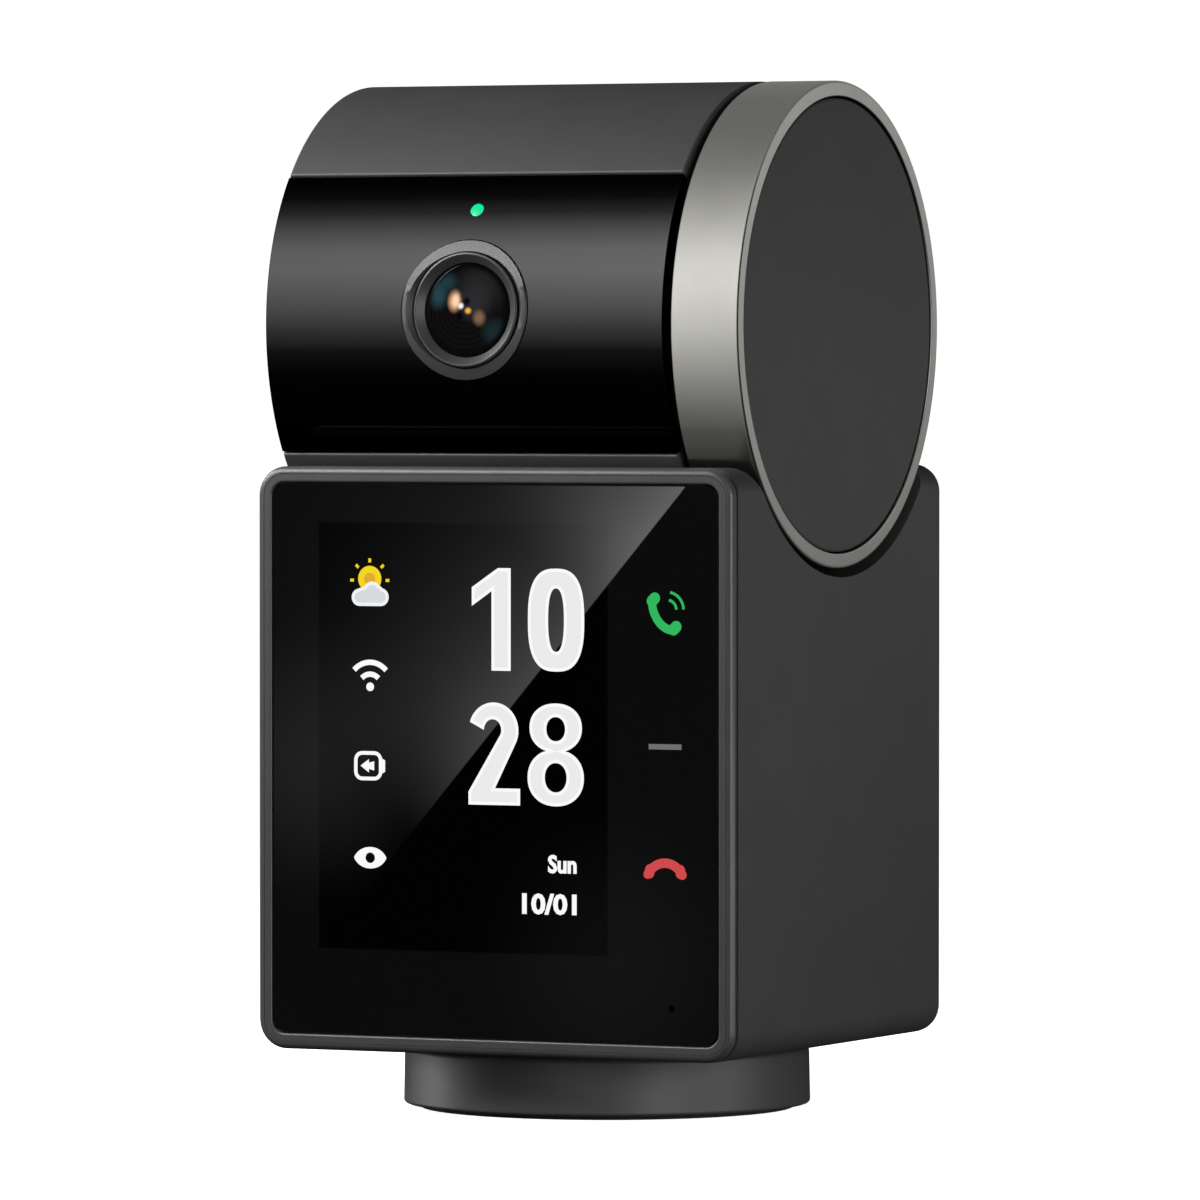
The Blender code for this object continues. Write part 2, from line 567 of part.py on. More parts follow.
def visor_wedge(name, margin, tilt):
    """A prism from the barrel's axis that spans the visor's angles."""
    far = 60.0 * MM
    low = VISOR_BOTTOM_ANGLE - margin
    high = VISOR_TOP_ANGLE + margin
    # Laid along X, the drawing's axes become -Z and Y, and the visor faces -Y
    points = [(0.0, 0.0)]
    for angle in (high, (high + low) / 2.0, low):
        points.append((-far * math.sin(angle), -far * math.cos(angle)))
    return cutter(name, outline(name, [points], 120.0 * MM), (0, 0, 0), ALONG_X, tilt)


def tube_profile(outer, inner):
    edge = 0.35 * MM
    return [(outer - edge, BARREL_RIGHT), (outer, BARREL_RIGHT - edge), (outer, BARREL_LEFT + edge),
            (outer - edge, BARREL_LEFT), (inner, BARREL_LEFT), (inner, BARREL_RIGHT)]


def make_barrel(tilt, hidden, lens, light):
    inner = HEAD_RADIUS - BARREL_WALL
    shell = turned("barrel_shell", tube_profile(HEAD_RADIUS, inner), "dark_matte", steps=72,
                   parent=tilt, rotation=ALONG_X)
    combine(shell, visor_wedge("visor_gap", VISOR_GROOVE, tilt))
    visor = turned("visor", tube_profile(HEAD_RADIUS, inner + 0.3 * MM), "black_gloss", steps=72,
                   parent=tilt, rotation=ALONG_X)
    combine(visor, visor_wedge("visor_span", 0.0, tilt), "INTERSECT")
    drill(visor, "lens_opening", 9.7 * MM, 20.0 * MM, (0, -20.0 * MM, 0), TO_FRONT, lens, 48)
    drill(visor, "light_opening", 1.2 * MM, 20.0 * MM, (0, -20.0 * MM, 0), TO_FRONT, light, 16)
    turned("status_light", [(0.0, 33.1 * MM), (0.95 * MM, 33.0 * MM), (0.95 * MM, 30.4 * MM),
                            (0.0, 30.4 * MM)], "light_green", closed=False, steps=16,
           parent=light, rotation=TO_FRONT)

    card_slot = block("card_slot", (12.4 * MM, 20.0 * MM, 1.6 * MM))
    combine(shell, cutter("card_slot", card_slot, (-14.0 * MM, -34.0 * MM, 0), parent=hidden))
    socket = block("card_socket", (13.6 * MM, 10.5 * MM, 2.2 * MM))
    card = piece("card_socket", socket, "steel", location=(-14.0 * MM, -25.6 * MM, 0), parent=hidden)
    card_mouth = block("card_mouth", (11.4 * MM, 9.0 * MM, 1.0 * MM))
    combine(card, cutter("card_mouth", card_mouth, (-14.0 * MM, -27.5 * MM, 0), parent=hidden))
    button_x = 15.0 * MM
    drill(shell, "button_hole", 1.9 * MM, 8.0 * MM, (button_x, -28.0 * MM, 0), TO_FRONT, hidden, 20)
    button = [(0.0, 33.0 * MM), (1.6 * MM, 33.0 * MM), (1.6 * MM, 30.7 * MM), (2.5 * MM, 30.7 * MM),
              (2.5 * MM, 29.9 * MM), (1.0 * MM, 29.9 * MM), (1.0 * MM, 28.3 * MM), (0.0, 28.3 * MM)]
    turned("reset_button", [(radius, height - 33.0 * MM) for radius, height in button], "black_plastic",
           closed=False, steps=20, location=(button_x, -33.0 * MM, 0), rotation=TO_FRONT, parent=hidden)
    switch = block("reset_switch", (5.0 * MM, 2.2 * MM, 5.0 * MM))
    piece("reset_switch", switch, "black_plastic", location=(button_x, -26.5 * MM, 0), parent=hidden)

    cap_radius = inner - 0.3 * MM
    left = rod("barrel_left_cap", cap_radius, 1.8 * MM, 72)
    piece("barrel_left_cap", left, "dark_matte", (BARREL_LEFT + 0.2 * MM, 0, 0), ALONG_X, tilt)
    hub = 9.5 * MM
    hub_bore = 7.3 * MM
    hub_end = 16.8 * MM
    face = BARREL_RIGHT - 0.1 * MM
    right = [(cap_radius, face), (cap_radius, face - 2.2 * MM), (hub, face - 2.2 * MM), (hub, hub_end),
             (hub_bore, hub_end), (hub_bore, face)]
    turned("barrel_right_cap", right, "black_plastic", steps=40, parent=tilt, rotation=ALONG_X)
    turned_ring("axle_bush", 5.1 * MM, hub_bore - FIT_GAP, 17.0 * MM, 23.7 * MM, "white_plastic", 32,
                parent=tilt, rotation=ALONG_X)


def make_lens(tilt, lens):
    """Everything on the lens axis; heights run outward from the barrel's axis."""
    bezel = [(9.1 * MM, 33.6 * MM), (9.4 * MM, 33.3 * MM), (9.4 * MM, 29.6 * MM), (7.9 * MM, 29.6 * MM),
             (7.9 * MM, 32.5 * MM), (8.3 * MM, 33.3 * MM)]
    bezel = turned("lens_bezel", bezel, "lens_grey", steps=40, parent=lens, rotation=TO_FRONT)
    # Its face follows the barrel, so that it passes through the saddle
    swept = cutter("bezel_sweep", rod("bezel_sweep", HEAD_RADIUS + 0.3 * MM, 60.0 * MM, 120),
                   (LENS_X - 30.0 * MM, 0, 0), ALONG_X, tilt)
    combine(bezel, swept, "INTERSECT")
    inner = [(7.3 * MM, 33.0 * MM), (7.6 * MM, 32.7 * MM), (7.6 * MM, 29.6 * MM), (6.5 * MM, 29.6 * MM),
             (6.5 * MM, 32.2 * MM)]
    turned("lens_inner_ring", inner, "lens_grey", steps=32, parent=lens, rotation=TO_FRONT)
    glass_radius = 6.2 * MM
    crown = 1.2 * MM
    dome_top = 33.2 * MM
    sphere = (glass_radius ** 2 + crown ** 2) / (2.0 * crown)
    span = math.asin(glass_radius / sphere)
    dome = [(sphere * math.sin(span * step / 4.0), dome_top - sphere + sphere * math.cos(span * step / 4.0))
            for step in range(5)]
    dome += [(glass_radius, 30.0 * MM), (0.0, 30.0 * MM)]
    turned("lens_glass", dome, "lens_glass", closed=False, steps=32, parent=lens, rotation=TO_FRONT)
    body = [(0.0, 29.3 * MM), (7.8 * MM, 29.3 * MM), (7.8 * MM, 21.0 * MM), (9.3 * MM, 21.0 * MM),
            (9.3 * MM, 14.4 * MM), (0.0, 14.4 * MM)]
    turned("lens_barrel", body, "black_plastic", closed=False, steps=20, parent=lens, rotation=TO_FRONT)
    board = block("sensor_board", (24.0 * MM, 1.1 * MM, 24.0 * MM))
    piece("sensor_board", board, "board", location=(0, -13.55 * MM, 0), parent=lens)
    led_size = (34.0 * MM, 1.1 * MM, 22.0 * MM)
    led_board = piece("ir_led_board", block("ir_led_board", led_size), "board",
                      location=(-5.6 * MM, -28.0 * MM, 0), parent=lens)
    drill(led_board, "led_board_hole", 8.2 * MM, 6.0 * MM, (0, -25.0 * MM, 0), TO_FRONT, lens, 32)
    for number, height in ((1, -6.0 * MM), (2, 6.0 * MM)):
        led = rod("ir_led_%d" % number, 1.4 * MM, 1.2 * MM, 12)
        piece("ir_led_%d" % number, led, "led_clear", (-15.0 * MM, -28.9 * MM, height), TO_FRONT, lens)


def make_tilt_drive(tilt):
    """The motor and its plate ride in the barrel; the pinion walks round the fixed gear."""
    pinion_y, pinion_z = tilt_pinion_place()
    plate_left = 7.3 * MM
    plate_thickness = 1.5 * MM
    plate = piece("head_chassis", rod("head_chassis", HEAD_RADIUS - BARREL_WALL - 0.5 * MM,
                                      plate_thickness, 32), "black_plastic",
                  (plate_left, 0, 0), ALONG_X, tilt)
    before = plate_left - 1.0 * MM
    drill(plate, "wire_hole", 3.2 * MM, 4.0 * MM, (before, 0, 0), ALONG_X, tilt, 20)
    drill(plate, "tilt_shaft_hole", 1.6 * MM, 4.0 * MM, (before, pinion_y, pinion_z), ALONG_X, tilt, 16)
    face = plate_left - FIT_GAP
    # The motor stands on the plate's left side, with its ears along its own X
    across = TILT_PINION_ANGLE + math.pi / 2.0
    motor_turn = (0.0, -math.pi / 2.0, 0.0)
    carrier = axis_empty("tilt_motor_place", (face, pinion_y, pinion_z), (across, 0, 0), tilt)
    make_motor("tilt_motor", (0, 0, 0), motor_turn, carrier)
    for number, side in ((1, -1.0), (2, 1.0)):
        drill(plate, "tilt_screw_hole_%d" % number, 1.2 * MM, 4.0 * MM, (-1.0 * MM, 0, side * EAR_REACH),
              ALONG_X, carrier, 12)
        head = (-EAR_THICKNESS - FIT_GAP, 0, side * EAR_REACH)
        screw("tilt_motor_screw_%d" % number, head, motor_turn, 2.6 * MM, carrier)
    toward = TILT_PINION_ANGLE + math.pi / 2.0 + math.pi
    make_pinion("tilt_pinion", (11.5 * MM, pinion_y, pinion_z), ALONG_X, tilt, toward)


def main():
    pan = axis_empty("pan_axis", (0, 0, BODY_BOTTOM))
    arm = axis_empty("arm_axis", (0, 0, HEAD_HEIGHT - BODY_BOTTOM), parent=pan)
    tilt = axis_empty("tilt_axis", (0, 0, HEAD_HEIGHT - BODY_BOTTOM), parent=pan)
    lens = axis_empty("lens_axis", (LENS_X, 0, 0), (-LENS_ANGLE, 0, 0), tilt)
    light = axis_empty("light_axis", (LENS_X, 0, 0), (-LIGHT_ANGLE, 0, 0), tilt)
    hidden = axis_empty("hidden_axis", (0, 0, 0), (-HIDDEN_ANGLE, 0, 0), tilt)
    make_base()
    make_housing(pan, arm)
    make_front(pan)
    make_inside(pan)
    make_pan_drive(pan)
    make_arm(arm)
    make_barrel(tilt, hidden, lens, light)
    make_lens(tilt, lens)
    make_tilt_drive(tilt)


main()
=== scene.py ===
import json
import math

import bmesh
import bpy
import numpy as np
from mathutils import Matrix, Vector


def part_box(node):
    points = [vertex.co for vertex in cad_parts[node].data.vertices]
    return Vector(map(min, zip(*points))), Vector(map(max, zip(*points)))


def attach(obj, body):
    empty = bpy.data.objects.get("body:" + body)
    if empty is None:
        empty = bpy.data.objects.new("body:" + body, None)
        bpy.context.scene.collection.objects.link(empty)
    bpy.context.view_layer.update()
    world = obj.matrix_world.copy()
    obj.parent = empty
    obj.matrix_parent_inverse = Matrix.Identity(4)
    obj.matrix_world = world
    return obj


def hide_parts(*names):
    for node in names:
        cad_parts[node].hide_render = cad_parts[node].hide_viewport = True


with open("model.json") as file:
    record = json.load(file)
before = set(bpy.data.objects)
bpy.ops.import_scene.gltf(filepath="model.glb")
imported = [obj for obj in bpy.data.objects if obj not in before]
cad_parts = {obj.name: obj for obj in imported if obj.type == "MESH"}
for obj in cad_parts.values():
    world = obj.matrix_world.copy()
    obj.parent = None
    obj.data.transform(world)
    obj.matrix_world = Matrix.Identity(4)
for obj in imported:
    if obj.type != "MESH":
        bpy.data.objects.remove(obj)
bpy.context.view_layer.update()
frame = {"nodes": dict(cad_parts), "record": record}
print("frame loaded:", len(frame["nodes"]), "nodes")

mm = 0.001
tau = 2.0 * math.pi
nodes = frame["nodes"]


# Places read from the frame
def boxOf(node):
    low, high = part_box(node)
    return np.array(low), np.array(high)


ringLow, ringHigh = boxOf("pod_ring")
barrelLow, barrelHigh = boxOf("barrel_shell")
bodyLow, bodyHigh = boxOf("housing_shell")
frameLow, frameHigh = boxOf("front_frame")
glassLow, glassHigh = boxOf("cover_glass")
footLow, footHigh = boxOf("base_shell")
# The slot for the side arm, in mm: its width and depth run through body and ring
armSlot = {"left": 26.7, "right": 30.3, "half": 6.6}
headCentre = (ringLow + ringHigh) / 2.0
headCentre[0] = 0.0
headRadius = (ringHigh[2] - ringLow[2]) / 2.0
lensX = float(sum(boxOf("lens_glass"))[0] / 2.0)
lensAngle = math.radians(3.5)
lightAngle = math.radians(27.9)
hiddenAngle = math.radians(-43.0)
visorTop = math.radians(37.5)
visorBottom = math.radians(-31.4)


# Shapes
def holdCorners(corners, radii, steps=6):
    # Each corner becomes a circular arc of its own radius, with a point just before and after it that holds the flat
    corners = np.asarray(corners, float)
    radii = np.broadcast_to(np.asarray(radii, float), (len(corners),))
    out = []
    for i, corner in enumerate(corners):
        toLast = corners[i - 1] - corner
        toNext = corners[(i + 1) % len(corners)] - corner
        a = toLast / np.linalg.norm(toLast)
        b = toNext / np.linalg.norm(toNext)
        if radii[i] <= 0.0:
            out.append(corner[None])
            continue
        half = math.acos(float(np.clip(np.dot(a, b), -1, 1))) / 2.0
        reach = radii[i] / math.tan(half)
        middle = (a + b) / np.linalg.norm(a + b)
        centre = corner + middle * radii[i] / math.sin(half)
        start, end = corner + a * reach, corner + b * reach
        t = np.linspace(0.0, 1.0, steps + 1)[:, None]
        u, v = start - centre, end - centre
        swing = math.pi - 2.0 * half
        arc = centre + (np.sin((1 - t) * swing) * u + np.sin(t * swing) * v) / math.sin(swing)
        hold = radii[i] * 0.12
        out += [(start + a * hold)[None], arc, (end + b * hold)[None]]
    return np.concatenate(out)


def gridFaces(rows, columns, wrapRows):
    # Four neighbours of a grid whose columns always close on themselves
    r = np.arange(rows if wrapRows else rows - 1)
    c = np.arange(columns)
    r, c = [part.ravel() for part in np.meshgrid(r, c, indexing="ij")]
    rNext, cNext = (r + 1) % rows, (c + 1) % columns
    return np.stack([r * columns + c, r * columns + cNext, rNext * columns + cNext, rNext * columns + c], 1)


def closedSurface(name, grid, wrapRows=False):
    # A grid of points whose rows are closed loops; open ends get a fan about their middle
    rows, columns = grid.shape[:2]
    points = grid.reshape(-1, 3)
    faces = gridFaces(rows, columns, wrapRows).tolist()
    if not wrapRows:
        around = np.arange(columns)
        onward = (around + 1) % columns
        for offset, middle in ((0, rows * columns), ((rows - 1) * columns, rows * columns + 1)):
            fan = np.stack([np.full(columns, middle), offset + around, offset + onward], 1)
            faces += fan.tolist()
        points = np.concatenate([points, grid[0].mean(0)[None], grid[-1].mean(0)[None]])
    mesh = bpy.data.meshes.new(name)
    mesh.from_pydata(points.tolist(), [], faces)
    return faceOutwards(mesh)


def faceOutwards(mesh, sharp=32.0):
    shape = bmesh.new()
    shape.from_mesh(mesh)
    bmesh.ops.recalc_face_normals(shape, faces=shape.faces)
    shape.to_mesh(mesh)
    shape.free()
    mesh.shade_smooth()
    mesh.set_sharp_from_angle(angle=math.radians(sharp))
    return mesh


def intoScene(name, data):
    thing = bpy.data.objects.new(name, data)
    bpy.context.scene.collection.objects.link(thing)
    return thing


def addPiece(name, mesh, material, body, stands=()):
    piece = intoScene(name, mesh)
    mesh.materials.clear()
    mesh.materials.append(material)
    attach(piece, body)
    if stands:
        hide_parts(*stands)
    return piece


def carve(mesh, tools, operation="DIFFERENCE"):
    # Cuts plain meshes out of a mesh and hands back the result
    target = intoScene("carve", mesh)
    helpers = []
    for tool in tools:
        helper = intoScene("carver", tool)
        modifier = target.modifiers.new("carve", "BOOLEAN")
        modifier.operation = operation
        modifier.object = helper
        helpers.append(helper)
    bpy.context.view_layer.update()
    result = bpy.data.meshes.new_from_object(target.evaluated_get(bpy.context.evaluated_depsgraph_get()))
    for helper in helpers + [target]:
        bpy.data.objects.remove(helper, do_unlink=True)
    result.name = mesh.name
    return result


def turn(name, profile, count, toWorld, closed=True):
    # A profile of (radius, height) carried round its axis; toWorld maps the turned points to their place
    angle = np.linspace(0.0, tau, count, endpoint=False)
    radius, height = profile[:, 0], profile[:, 1]
    local = np.stack([radius[:, None] * np.cos(angle), radius[:, None] * np.sin(angle),
                      np.repeat(height[:, None], count, 1)], -1)
    return closedSurface(name, toWorld(local), wrapRows=closed)


def upright(local):
    return local


def alongX(local):
    # The turning axis lies along X through the barrel's middle
    return np.stack([local[..., 2], local[..., 0], local[..., 1]], -1) + headCentre


def outFromBarrel(angle, x):
    # The turning axis points out of the barrel at an angle above the level, heights counted from the barrel's axis
    def place(local):
        side, rise, out = local[..., 0], local[..., 1], local[..., 2]
        y = -out * math.cos(angle) + rise * math.sin(angle)
        z = out * math.sin(angle) + rise * math.cos(angle)
        return np.stack([side + x, y, z], -1) + headCentre
    return place


def sector(name, low, high, inner, outer, edge, left, right, count):
    # A wall's cross-section carried round the barrel's axis from one angle to another. Near both ends of the sweep
    # the outer radius falls away on a quarter circle, which rounds the long edges too
    angles = np.linspace(low, high, count)
    ends = edge / outer
    close = ends * (1.0 - np.cos(np.linspace(0.0, math.pi / 2.0, 7)))
    angles = np.concatenate([low + close, angles[(angles > low + ends * 1.2) & (angles < high - ends * 1.2)],
                             (high - close)[::-1]])
    fromEnd = np.minimum(angles - low, high - angles) * outer
    short = np.clip(edge - fromEnd, 0.0, edge)
    drop = edge - np.sqrt(np.maximum(edge ** 2 - short ** 2, 0.0))
    section = holdCorners([(left, inner), (left, outer), (right, outer), (right, inner)],
                          [0.0, edge, edge, 0.0])
    share = (section[:, 1] - inner) / (outer - inner)
    radius = section[None, :, 1] - drop[:, None] * share[None]
    x = np.repeat(section[None, :, 0], len(angles), 0)
    y = -radius * np.cos(angles)[:, None]
    z = radius * np.sin(angles)[:, None]
    return closedSurface(name, np.stack([x, y, z], -1) + headCentre)


def roundRect(width, height, radius, arcSteps=10):
    # Points round a rounded rectangle, with the outward direction at each
    points, outward = [], []
    for quarter in range(4):
        turnAngle = quarter * math.pi / 2.0
        t = np.linspace(0.0, math.pi / 2.0, arcSteps + 1) + turnAngle
        signX = 1.0 if quarter in (0, 3) else -1.0
        signY = 1.0 if quarter in (0, 1) else -1.0
        centre = np.array([signX * (width / 2 - radius), signY * (height / 2 - radius)])
        direction = np.stack([np.cos(t), np.sin(t)], 1)
        points.append(centre + radius * direction)
        outward.append(direction)
    return np.concatenate(points), np.concatenate(outward)


def rimSweep(name, width, height, radius, profile, centre, wrap=True):
    # A profile of (inset, depth) carried round a rounded rectangle that stands in the XZ plane
    points, outward = roundRect(width, height, radius)
    inset, depth = profile[:, 0], profile[:, 1]
    flat = points[None] - inset[:, None, None] * outward[None]
    y = np.repeat(depth[:, None], len(points), 1)
    grid = np.stack([flat[..., 0] + centre[0], y, flat[..., 1] + centre[1]], -1)
    return closedSurface(name, grid, wrapRows=wrap)


def boxMesh(name, low, high):
    low, high = np.asarray(low, float), np.asarray(high, float)
    corners = np.array([[x, y, z] for x in (low[0], high[0]) for y in (low[1], high[1])
                        for z in (low[2], high[2])])
    mesh = bpy.data.meshes.new(name)
    mesh.from_pydata(corners.tolist(), [], [(0, 1, 3, 2), (4, 6, 7, 5), (0, 4, 5, 1), (2, 3, 7, 6),
                                            (0, 2, 6, 4), (1, 5, 7, 3)])
    return faceOutwards(mesh)


def armHole(name, low, high):
    half = armSlot["half"] * mm
    return boxMesh(name, (armSlot["left"] * mm, -half, low * mm), (armSlot["right"] * mm, half, high * mm))


def rodMesh(name, radius, low, high, toWorld, count=64):
    profile = np.array([(radius, high), (radius, low)])
    return turn(name, profile, count, toWorld, closed=False)


def flatPiece(name, loops, x, z, y, thickness, grow=0.0):
    # Closed outlines drawn in mm, filled, grown or shrunk, and thickened, then stood up to face -Y
    curve = bpy.data.curves.new(name, "CURVE")
    curve.dimensions = "2D"
    curve.fill_mode = "BOTH"
    curve.extrude = thickness / 2.0
    curve.offset = grow * mm
    for loop in loops:
        spline = curve.splines.new("POLY")
        spline.points.add(len(loop) - 1)
        flat = np.zeros((len(loop), 4))
        flat[:, :2] = np.asarray(loop) * mm
        flat[:, 3] = 1.0
        spline.points.foreach_set("co", flat.ravel())
        spline.use_cyclic_u = True
    return standUp(name, curve, x, z, y)


def pointsOf(mesh):
    flat = np.empty(len(mesh.vertices) * 3)
    mesh.vertices.foreach_get("co", flat)
    return flat.reshape(-1, 3)


def standUp(name, data, x, z, y):
    guide = intoScene(name + "Guide", data)
    bpy.context.view_layer.update()
    mesh = bpy.data.meshes.new_from_object(guide.evaluated_get(bpy.context.evaluated_depsgraph_get()))
    bpy.data.objects.remove(guide, do_unlink=True)
    flat = pointsOf(mesh)
    stood = np.stack([flat[:, 0] + x, y - flat[:, 2], flat[:, 1] + z], 1)
    mesh.vertices.foreach_set("co", stood.ravel())
    shape = bmesh.new()
    shape.from_mesh(mesh)
    bmesh.ops.remove_doubles(shape, verts=shape.verts, dist=1e-7)
    bmesh.ops.recalc_face_normals(shape, faces=shape.faces)
    shape.to_mesh(mesh)
    shape.free()
    mesh.name = name
    return mesh


def stroke(path, width, roundEnds=False):
    # An open path drawn with a pen of a given width: both sides of the path joined into one outline
    path = np.asarray(path, float)
    step = np.gradient(path, axis=0)
    step /= np.linalg.norm(step, axis=1)[:, None]
    side = np.stack([-step[:, 1], step[:, 0]], 1) * width / 2.0
    left, right = path + side, path - side
    if not roundEnds:
        return np.concatenate([left, right[::-1]])
    t = np.linspace(0.0, math.pi, 9)[1:-1, None]
    endCap = path[-1] + np.cos(t) * side[-1] + np.sin(t) * step[-1] * width / 2.0
    startCap = path[0] - np.cos(t) * side[0] - np.sin(t) * step[0] * width / 2.0
    return np.concatenate([left, endCap, right[::-1], startCap])


def ringStroke(path, width):
    # A closed path drawn with a pen: an outer and an inner loop
    path = np.asarray(path, float)
    step = np.roll(path, -1, 0) - np.roll(path, 1, 0)
    step /= np.linalg.norm(step, axis=1)[:, None]
    side = np.stack([-step[:, 1], step[:, 0]], 1) * width / 2.0
    return [path - side, path + side]


def arcPath(cx, cy, rx, ry, start, end, count=24):
    t = np.radians(np.linspace(start, end, count))
    return np.stack([cx + rx * np.cos(t), cy + ry * np.sin(t)], 1)


# Materials
def fromHex(code):
    channels = [int(code[i:i + 2], 16) / 255.0 for i in (1, 3, 5)]
    return tuple(c / 12.92 if c <= 0.04045 else ((c + 0.055) / 1.055) ** 2.4 for c in channels) + (1.0,)


def addNode(tree, kind, settings=(), **inputs):
    # One node with its settings and its sockets; a socket takes a number, a colour or another node's output
    node = tree.nodes.new(kind)
    for key, value in dict(settings).items():
        setattr(node, key, value)
    for key, value in inputs.items():
        socket = node.inputs[int(key[1:]) if key[0] == "i" and key[1:].isdigit() else key.replace("_", " ")]
        if isinstance(value, bpy.types.NodeSocket):
            tree.links.new(value, socket)
        else:
            socket.default_value = value
    return node


def math2(tree, operation, first, second=0.0):
    return addNode(tree, "ShaderNodeMath", {"operation": operation}, i0=first, i1=second).outputs[0]


def spread(tree, value, low, high, start, end, **settings):
    # One range of values laid onto another
    return addNode(tree, "ShaderNodeMapRange", settings, Value=value, i1=low, i2=high, i3=start, i4=end).outputs[0]


def mixed(tree, share, first, second, **settings):
    return addNode(tree, "ShaderNodeMix", {"data_type": "RGBA", **settings}, i0=share, i6=first, i7=second).outputs[2]


def newMaterial(name, **sockets):
    material = bpy.data.materials.new(name)
    material.use_nodes = True
    tree = material.node_tree
    shader = tree.nodes["Principled BSDF"]
    for key, value in sockets.items():
        shader.inputs[key.replace("_", " ")].default_value = value
    coordinates = addNode(tree, "ShaderNodeTexCoord").outputs["Object"]
    return material, tree, shader, coordinates


def grainyMaterial(name, light, dark, rough, grain, depth, patch=9.0, metal=0.0, stretch=(1, 1, 1), **sockets):
    # Fine grain in the surface, and a slow drift of colour and gloss across it; sizes in mm
    material, tree, shader, where = newMaterial(name, Metallic=metal, **sockets)
    mapped = addNode(tree, "ShaderNodeMapping", Vector=where, Scale=stretch).outputs[0]
    fine = addNode(tree, "ShaderNodeTexNoise", Vector=mapped, Scale=1.0 / (grain * mm), Detail=3.0)
    slow = addNode(tree, "ShaderNodeTexNoise", Vector=where, Scale=1.0 / (patch * mm), Detail=2.0)
    speckle = mixed(tree, 0.35, slow.outputs["Color"], fine.outputs["Color"])
    shade = addNode(tree, "ShaderNodeValToRGB", Fac=speckle)
    shade.color_ramp.elements[0].position, shade.color_ramp.elements[1].position = 0.38, 0.62
    shade.color_ramp.elements[0].color, shade.color_ramp.elements[1].color = fromHex(dark), fromHex(light)
    gloss = spread(tree, fine.outputs["Fac"], 0.3, 0.7, rough - 0.04, rough + 0.05)
    bump = addNode(tree, "ShaderNodeBump", Height=fine.outputs["Fac"], Strength=0.6, Distance=depth * mm)
    tree.links.new(shade.outputs["Color"], shader.inputs["Base Color"])
    tree.links.new(gloss, shader.inputs["Roughness"])
    tree.links.new(bump.outputs[0], shader.inputs["Normal"])
    return material


def litMaterial(name, colour, strength, grain=0.15):
    # Light behind the glass: even emission, with the faint cell pattern of a backlit panel
    material, tree, shader, where = newMaterial(name, Roughness=0.25)
    cells = addNode(tree, "ShaderNodeTexVoronoi", Vector=where, Scale=1.0 / (grain * mm))
    level = spread(tree, cells.outputs["Distance"], 0.0, 1.0, 1.0, 0.93)
    tint = mixed(tree, 1.0, fromHex(colour), level, blend_type="MULTIPLY")
    shader.inputs["Base Color"].default_value = (0.0, 0.0, 0.0, 1.0)
    tree.links.new(tint, shader.inputs["Emission Color"])
    shader.inputs["Emission Strength"].default_value = strength
    return material


# Moulded ABS with a fine spark-eroded grain: dull, with a soft sheen
mouldedAbs = grainyMaterial("mouldedAbs", "#3d3d3d", "#393939", 0.5, 0.16, 0.012)
# The same ABS on the side disc and the barrel's end, a touch darker: painted shade on these end faces
mouldedAbsShadedEnds = grainyMaterial("mouldedAbsShadedEnds", "#3b3b3b", "#373737", 0.46, 0.16, 0.012)
# Painted bezel, smoother than the shell
satinBezel = grainyMaterial("satinBezel", "#454546", "#404041", 0.4, 0.12, 0.006)
# Polished smoked polycarbonate
smokedVisor = grainyMaterial("smokedVisor", "#010101", "#000000", 0.05, 6.0, 0.0, patch=25.0)


def dullBelow(material, top, bottom):
    # A matt fade under the lens: the gloss dies away between two heights above the barrel's axis, in mm
    tree = material.node_tree
    where = addNode(tree, "ShaderNodeTexCoord").outputs["Object"]
    height = addNode(tree, "ShaderNodeSeparateXYZ", Vector=where).outputs["Z"]
    axis = float(headCentre[2])
    level = spread(tree, height, axis + bottom * mm, axis + top * mm, 0.0, 0.5)
    tree.links.new(level, tree.nodes["Principled BSDF"].inputs["Specular IOR Level"])


dullBelow(smokedVisor, -8.0, -15.0)
# Bead-blasted and anodised aluminium in a warm grey: even, silky highlights
anodisedRing = grainyMaterial("anodisedRing", "#aaa9a4", "#a2a19c", 0.3, 0.09, 0.005, metal=1.0)
# Nitrile rubber
nitrileRubber = grainyMaterial("nitrileRubber", "#1b1b1b", "#161616", 0.85, 0.3, 0.03)
# Rolled steel with its lines along one way
rolledSteel = grainyMaterial("rolledSteel", "#b9b9bb", "#a3a3a6", 0.33, 0.25, 0.006, metal=1.0, stretch=(1, 1, 8))
# Turned brass
turnedBrass = grainyMaterial("turnedBrass", "#c9a860", "#b8964f", 0.3, 0.2, 0.004, metal=1.0, stretch=(1, 1, 6))
# Natural acetal, waxy white
naturalAcetal = grainyMaterial("naturalAcetal", "#dddbd3", "#d3d1c8", 0.42, 0.5, 0.008)
# Plain black nylon for inner pieces
blackNylon = grainyMaterial("blackNylon", "#1c1c1d", "#151516", 0.5, 0.2, 0.012)
# Lens trim, satin painted
lensTrim = grainyMaterial("lensTrim", "#363636", "#313131", 0.44, 0.1, 0.004)
